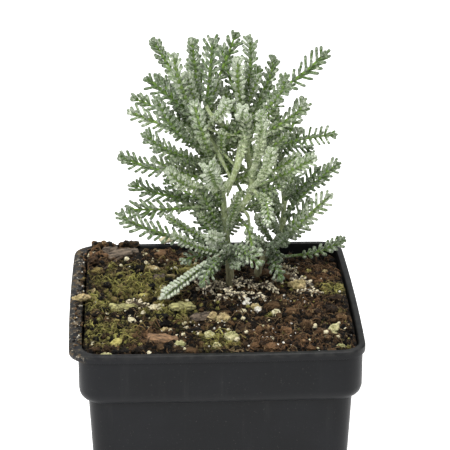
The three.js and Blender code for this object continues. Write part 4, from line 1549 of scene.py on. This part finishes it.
def saggingLeaf(stem, base, tip, rule, kinds, draw):
    sag = (tip - base).length * growing["sag"]
    middle = base.lerp(tip, 0.5) - Vector((0, 0, sag))
    tooth = between(rule["tooth"], draw())
    roll = between(growing["roll"], draw())
    kind = kinds[int(draw() * len(kinds))] if len(kinds) > 1 else kinds[0]
    return Leaf(stem, base, middle, tip, tooth, rule["stalk"], roll, kind)


def ruledLeaves(rows, rule, draw):
    leaves = []
    for stem, heights, count, middleAngle, spread, reaches in rows:
        for i in range(count):
            share = i / (count - 1)
            swing = ((i * growing["goldenShare"] + draw() * growing["swingSway"]) % 1) * 2 - 1
            angle = math.radians(middleAngle + swing * spread)
            rise = math.radians(between(rule["rise"], share) + between(rule["riseSway"], draw()))
            reach = between(reaches, draw())
            flat = reach * math.cos(rise)
            base = stemPoint(stem, between(heights, share))
            tip = base + Vector((math.cos(angle) * flat, math.sin(angle) * flat, reach * math.sin(rise)))
            leaves.append(saggingLeaf(stem, base, tip, rule, rule["kinds"], draw))
    return leaves


def youngLeaves():
    draw = seededDraws(young["seed"])
    leaves = ruledLeaves(youngRows, young, draw)
    for stem, foot, tip, kind in innerLeaves:
        base = Vector(foot) if isinstance(foot, tuple) else stemPoint(stem, foot)
        leaves.append(saggingLeaf(stem, base, Vector(tip), young, [kind], draw))
    return leaves


def overSoil(x, y, lift):
    return Vector((x, y, surfaceAt(x, y) + lift))


def deadLeaves():
    draw = seededDraws(dead["seed"])
    leaves = []
    for start, end in deadSpots:
        lift = between(dead["lift"], draw())
        halfX = (start[0] + end[0]) / 2 + between(dead["bend"], draw())
        middle = overSoil(halfX, (start[1] + end[1]) / 2, lift)
        base, tip = overSoil(*start, dead["clear"]), overSoil(*end, dead["clear"])
        tooth = between(dead["tooth"], draw())
        leaves.append(Leaf("dead", base, middle, tip, tooth, dead["stalk"], draw() * math.pi, "dead"))
    return leaves


def modelLobe():
    # one blunt, clubbed finger that stands on the rib and curves a little forward, a millimetre long and wide
    deselectAll()
    bpy.ops.mesh.primitive_circle_add(vertices=5, radius=0.38, fill_type="NOTHING")
    piece = takeNew("lobePattern")
    with editMode("SELECT"):
        for forward, up, size in lobeRings:
            bpy.ops.mesh.extrude_region_move(TRANSFORM_OT_translate={"value": (forward, 0, up)})
            bpy.ops.transform.resize(value=(size, size, 1))
        bpy.ops.mesh.extrude_region_move(TRANSFORM_OT_translate={"value": (0.0, 0, 0.03)})
        bpy.ops.mesh.merge(type="CENTER")
    faceOutwards(piece)
    return piece


def modelRib():
    # a tapered rod of unit length along +X: broad at its foot, slim at its tip
    deselectAll()
    bpy.ops.mesh.primitive_circle_add(vertices=6, radius=0.5, fill_type="NGON", rotation=(0, math.pi / 2, 0))
    piece = takeNew("ribPattern")
    applyPlace(piece)
    with editMode("SELECT"):
        for size in ribRings:
            bpy.ops.mesh.extrude_region_move(TRANSFORM_OT_translate={"value": (1 / len(ribRings), 0, 0)})
            bpy.ops.transform.resize(value=(1, size, size))
    faceOutwards(piece)
    return piece


def ribControl(base, middle, tip):
    # the control spot of the curve that runs through the rib's middle
    return middle * 2 - base * 0.5 - tip * 0.5


def curveLength(leaf):
    base, tip = leaf.base, leaf.tip
    control = ribControl(base, leaf.middle, tip)
    spots = [base.lerp(control, t / 16).lerp(control.lerp(tip, t / 16), t / 16) for t in range(17)]
    return sum((b - a).length for a, b in zip(spots, spots[1:]))


def bendToRib(mesh, leaf, length):
    # the straight leaf's X follows the rib's curve, its Y stays in the plane seen from the front
    base, middle, tip = (np.array(spot) for spot in (leaf.base, leaf.middle, leaf.tip))
    control = ribControl(base, middle, tip)
    t = np.linspace(0, 1, 65)[:, None]
    curve = (1 - t) ** 2 * base + 2 * t * (1 - t) * control + t ** 2 * tip
    tangents = 2 * (1 - t) * (control - base) + 2 * t * (tip - control)
    tangents /= np.linalg.norm(tangents, axis=1)[:, None]
    run = np.concatenate([[0], np.cumsum(np.linalg.norm(np.diff(curve, axis=0), axis=1))])
    chord = tip - base
    across = np.cross(chord, (0, 1, 0))
    if np.linalg.norm(across) < 0.3 * np.linalg.norm(chord):
        across = np.array((1.0, 0, 0))
    points = coordinatesOf(mesh)
    held = np.clip(points[:, 0], 0, length)
    along = held / length * run[-1]
    centre = np.stack([np.interp(along, run, curve[:, k]) for k in range(3)], axis=1)
    forward = np.stack([np.interp(along, run, tangents[:, k]) for k in range(3)], axis=1)
    forward /= np.linalg.norm(forward, axis=1)[:, None]
    side = across - forward * (forward @ across)[:, None]
    side /= np.linalg.norm(side, axis=1)[:, None]
    other = np.cross(forward, side)
    spare = (points[:, 0] - held)[:, None]
    placed = centre + forward * spare + side * points[:, 1:2] + other * points[:, 2:3]
    setCoordinates(mesh, placed * millimetre)


def placeLobe(lobePattern, spot, angle, tilt, thick, size, looks):
    # a finger whose foot is at the given spot of the straight leaf, and that leans forward by the tilt
    out = Vector((0, math.cos(angle), math.sin(angle)))
    up = out * math.cos(tilt) + Vector((math.sin(tilt), 0, 0))
    ahead = Vector((math.cos(tilt), 0, 0)) - out * math.sin(tilt)
    turn = Matrix((ahead, up.cross(ahead), up)).transposed()
    lobe = copyOf(lobePattern, "lobe")
    points = coordinatesOf(lobe.data)
    leant = (points * np.array((thick, thick, size))) @ np.array(turn).T
    setCoordinates(lobe.data, leant + np.array((spot, 0, 0)) + np.array(out) * leafLook["footOut"])
    felt = mix(leafLook["footFelt"], 1, points[:, 2] / points[:, 2].max())
    paintPoints(lobe.data, "growth", felt, *looks)
    return lobe


def placeRib(ribPattern, leaf, length, kind, looks):
    rib = copyOf(ribPattern, "leaf")
    wide, deep = (side * leafLook["ribWidth"] * kind["rib"] for side in leafLook["ribSection"])
    points = coordinatesOf(rib.data) * np.array((length - leafLook["ribShort"], wide, deep))
    setCoordinates(rib.data, points)
    bare = np.clip(1 - points[:, 0] / length / (leaf.stalk + leafLook["bareBeyond"]), 0, 1)
    paintPoints(rib.data, "growth", np.maximum(kind["ribFelt"], bare * leafLook["bareFelt"]), *looks)
    return rib


def makeLeaf(leaf, lobePattern, ribPattern, draw):
    kind = leafKinds["usual"] | leafKinds[leaf.kind]
    look = leafLook
    length = curveLength(leaf)
    looks = (between(kind["silver"], draw()), kind["dry"])
    parts = [placeRib(ribPattern, leaf, length, kind, looks)]
    blade = length * (1 - leaf.stalk)
    step = look["whorlStep"] * kind["step"]
    wide = look["lobeWidth"] * kind["width"]
    whorls = max(3, round((blade - look["endLobe"]) / step) + 1)
    for i in range(whorls):
        share = i / (whorls - 1)
        reach = leaf.tooth * kind["length"] * between(look["lobeLength"], min(1, share * look["lobeGrowth"]))
        lean = between(look["lean"], share) - kind["upright"]
        if i == whorls - 1:
            reach *= look["endShare"]
            lean = look["endLean"]
        for rank in range(4):
            angle = leaf.roll + rank * math.pi / 2 + between(look["rankSway"], draw()) * kind["wild"]
            tilt = math.radians(lean + between(look["leanSway"], draw()) * kind["wild"])
            slip = between(look["slip"], draw()) * step * min(1, kind["wild"])
            spot = length * leaf.stalk + share * (blade - look["endLobe"]) + slip
            size = reach * between(look["lengthSway"], draw())
            thick = wide * between(look["thickSway"], draw())
            parts.append(placeLobe(lobePattern, spot, angle, tilt, thick, size, looks))
    last = look["endLobe"] * look["lastShare"]
    parts.append(placeLobe(lobePattern, length - last, 0, math.pi / 2, wide, last, looks))
    piece = joinAll(parts, "leaf")
    bendToRib(piece.data, leaf, length)
    return piece


def makeFoliage():
    lobePattern = modelLobe()
    ribPattern = modelRib()
    draw = seededDraws(leafLook["swaySeed"])
    large = placedByHand() + ruledLeaves(rearRows, rear, seededDraws(rear["seed"]))
    small = youngLeaves()
    groups = [
        # piece, stems, their leaves, the node that it replaces
        ("leavesLeft", ["left", "leftBranch"], large, ["leafy_stem_left"]),
        ("leavesRight", ["right"], large, ["leafy_stem_right"]),
        ("youngLeavesLeft", ["left"], small, []),
        ("youngLeavesBranch", ["leftBranch"], small, []),
        ("youngLeavesRight", ["right"], small, []),
        ("deadLeaves", ["dead"], deadLeaves(), []),
    ]
    for name, stems, leaves, node in groups:
        made = [makeLeaf(leaf, lobePattern, ribPattern, draw) for leaf in leaves if leaf.stem in stems]
        piece = joinAll(made, name)
        smooth(piece, 75)
        finishPiece(piece, "leaf", node)
        print(name, len(made), "leaves", len(piece.data.polygons), "faces")
    bpy.data.objects.remove(lobePattern)
    bpy.data.objects.remove(ribPattern)


makeFoliage()
print("leaves are out")


# The twig

twig = {
    "spots": [(-29.8, 31, 1.7), (-32.8, 26.4, 1.3), (-35.6, 21.8, 1.1)],
    "radii": (0.6, 0.36),
    "lumpSize": 1.2,
    "lumps": 0.3,
}


def makeTwig():
    path = [(x, y, soilHeight(x, y) + lift) for x, y, lift in twig["spots"]]
    piece = makeTube("twigPiece", path, twig["radii"], 8, 2)
    roughen(piece, twig["lumpSize"] * millimetre, twig["lumps"] * millimetre)
    applyModifiers(piece)
    smooth(piece, 70)
    finishPiece(piece, "darkTwig", ["twig"])


makeTwig()
print("twig lies in its place")
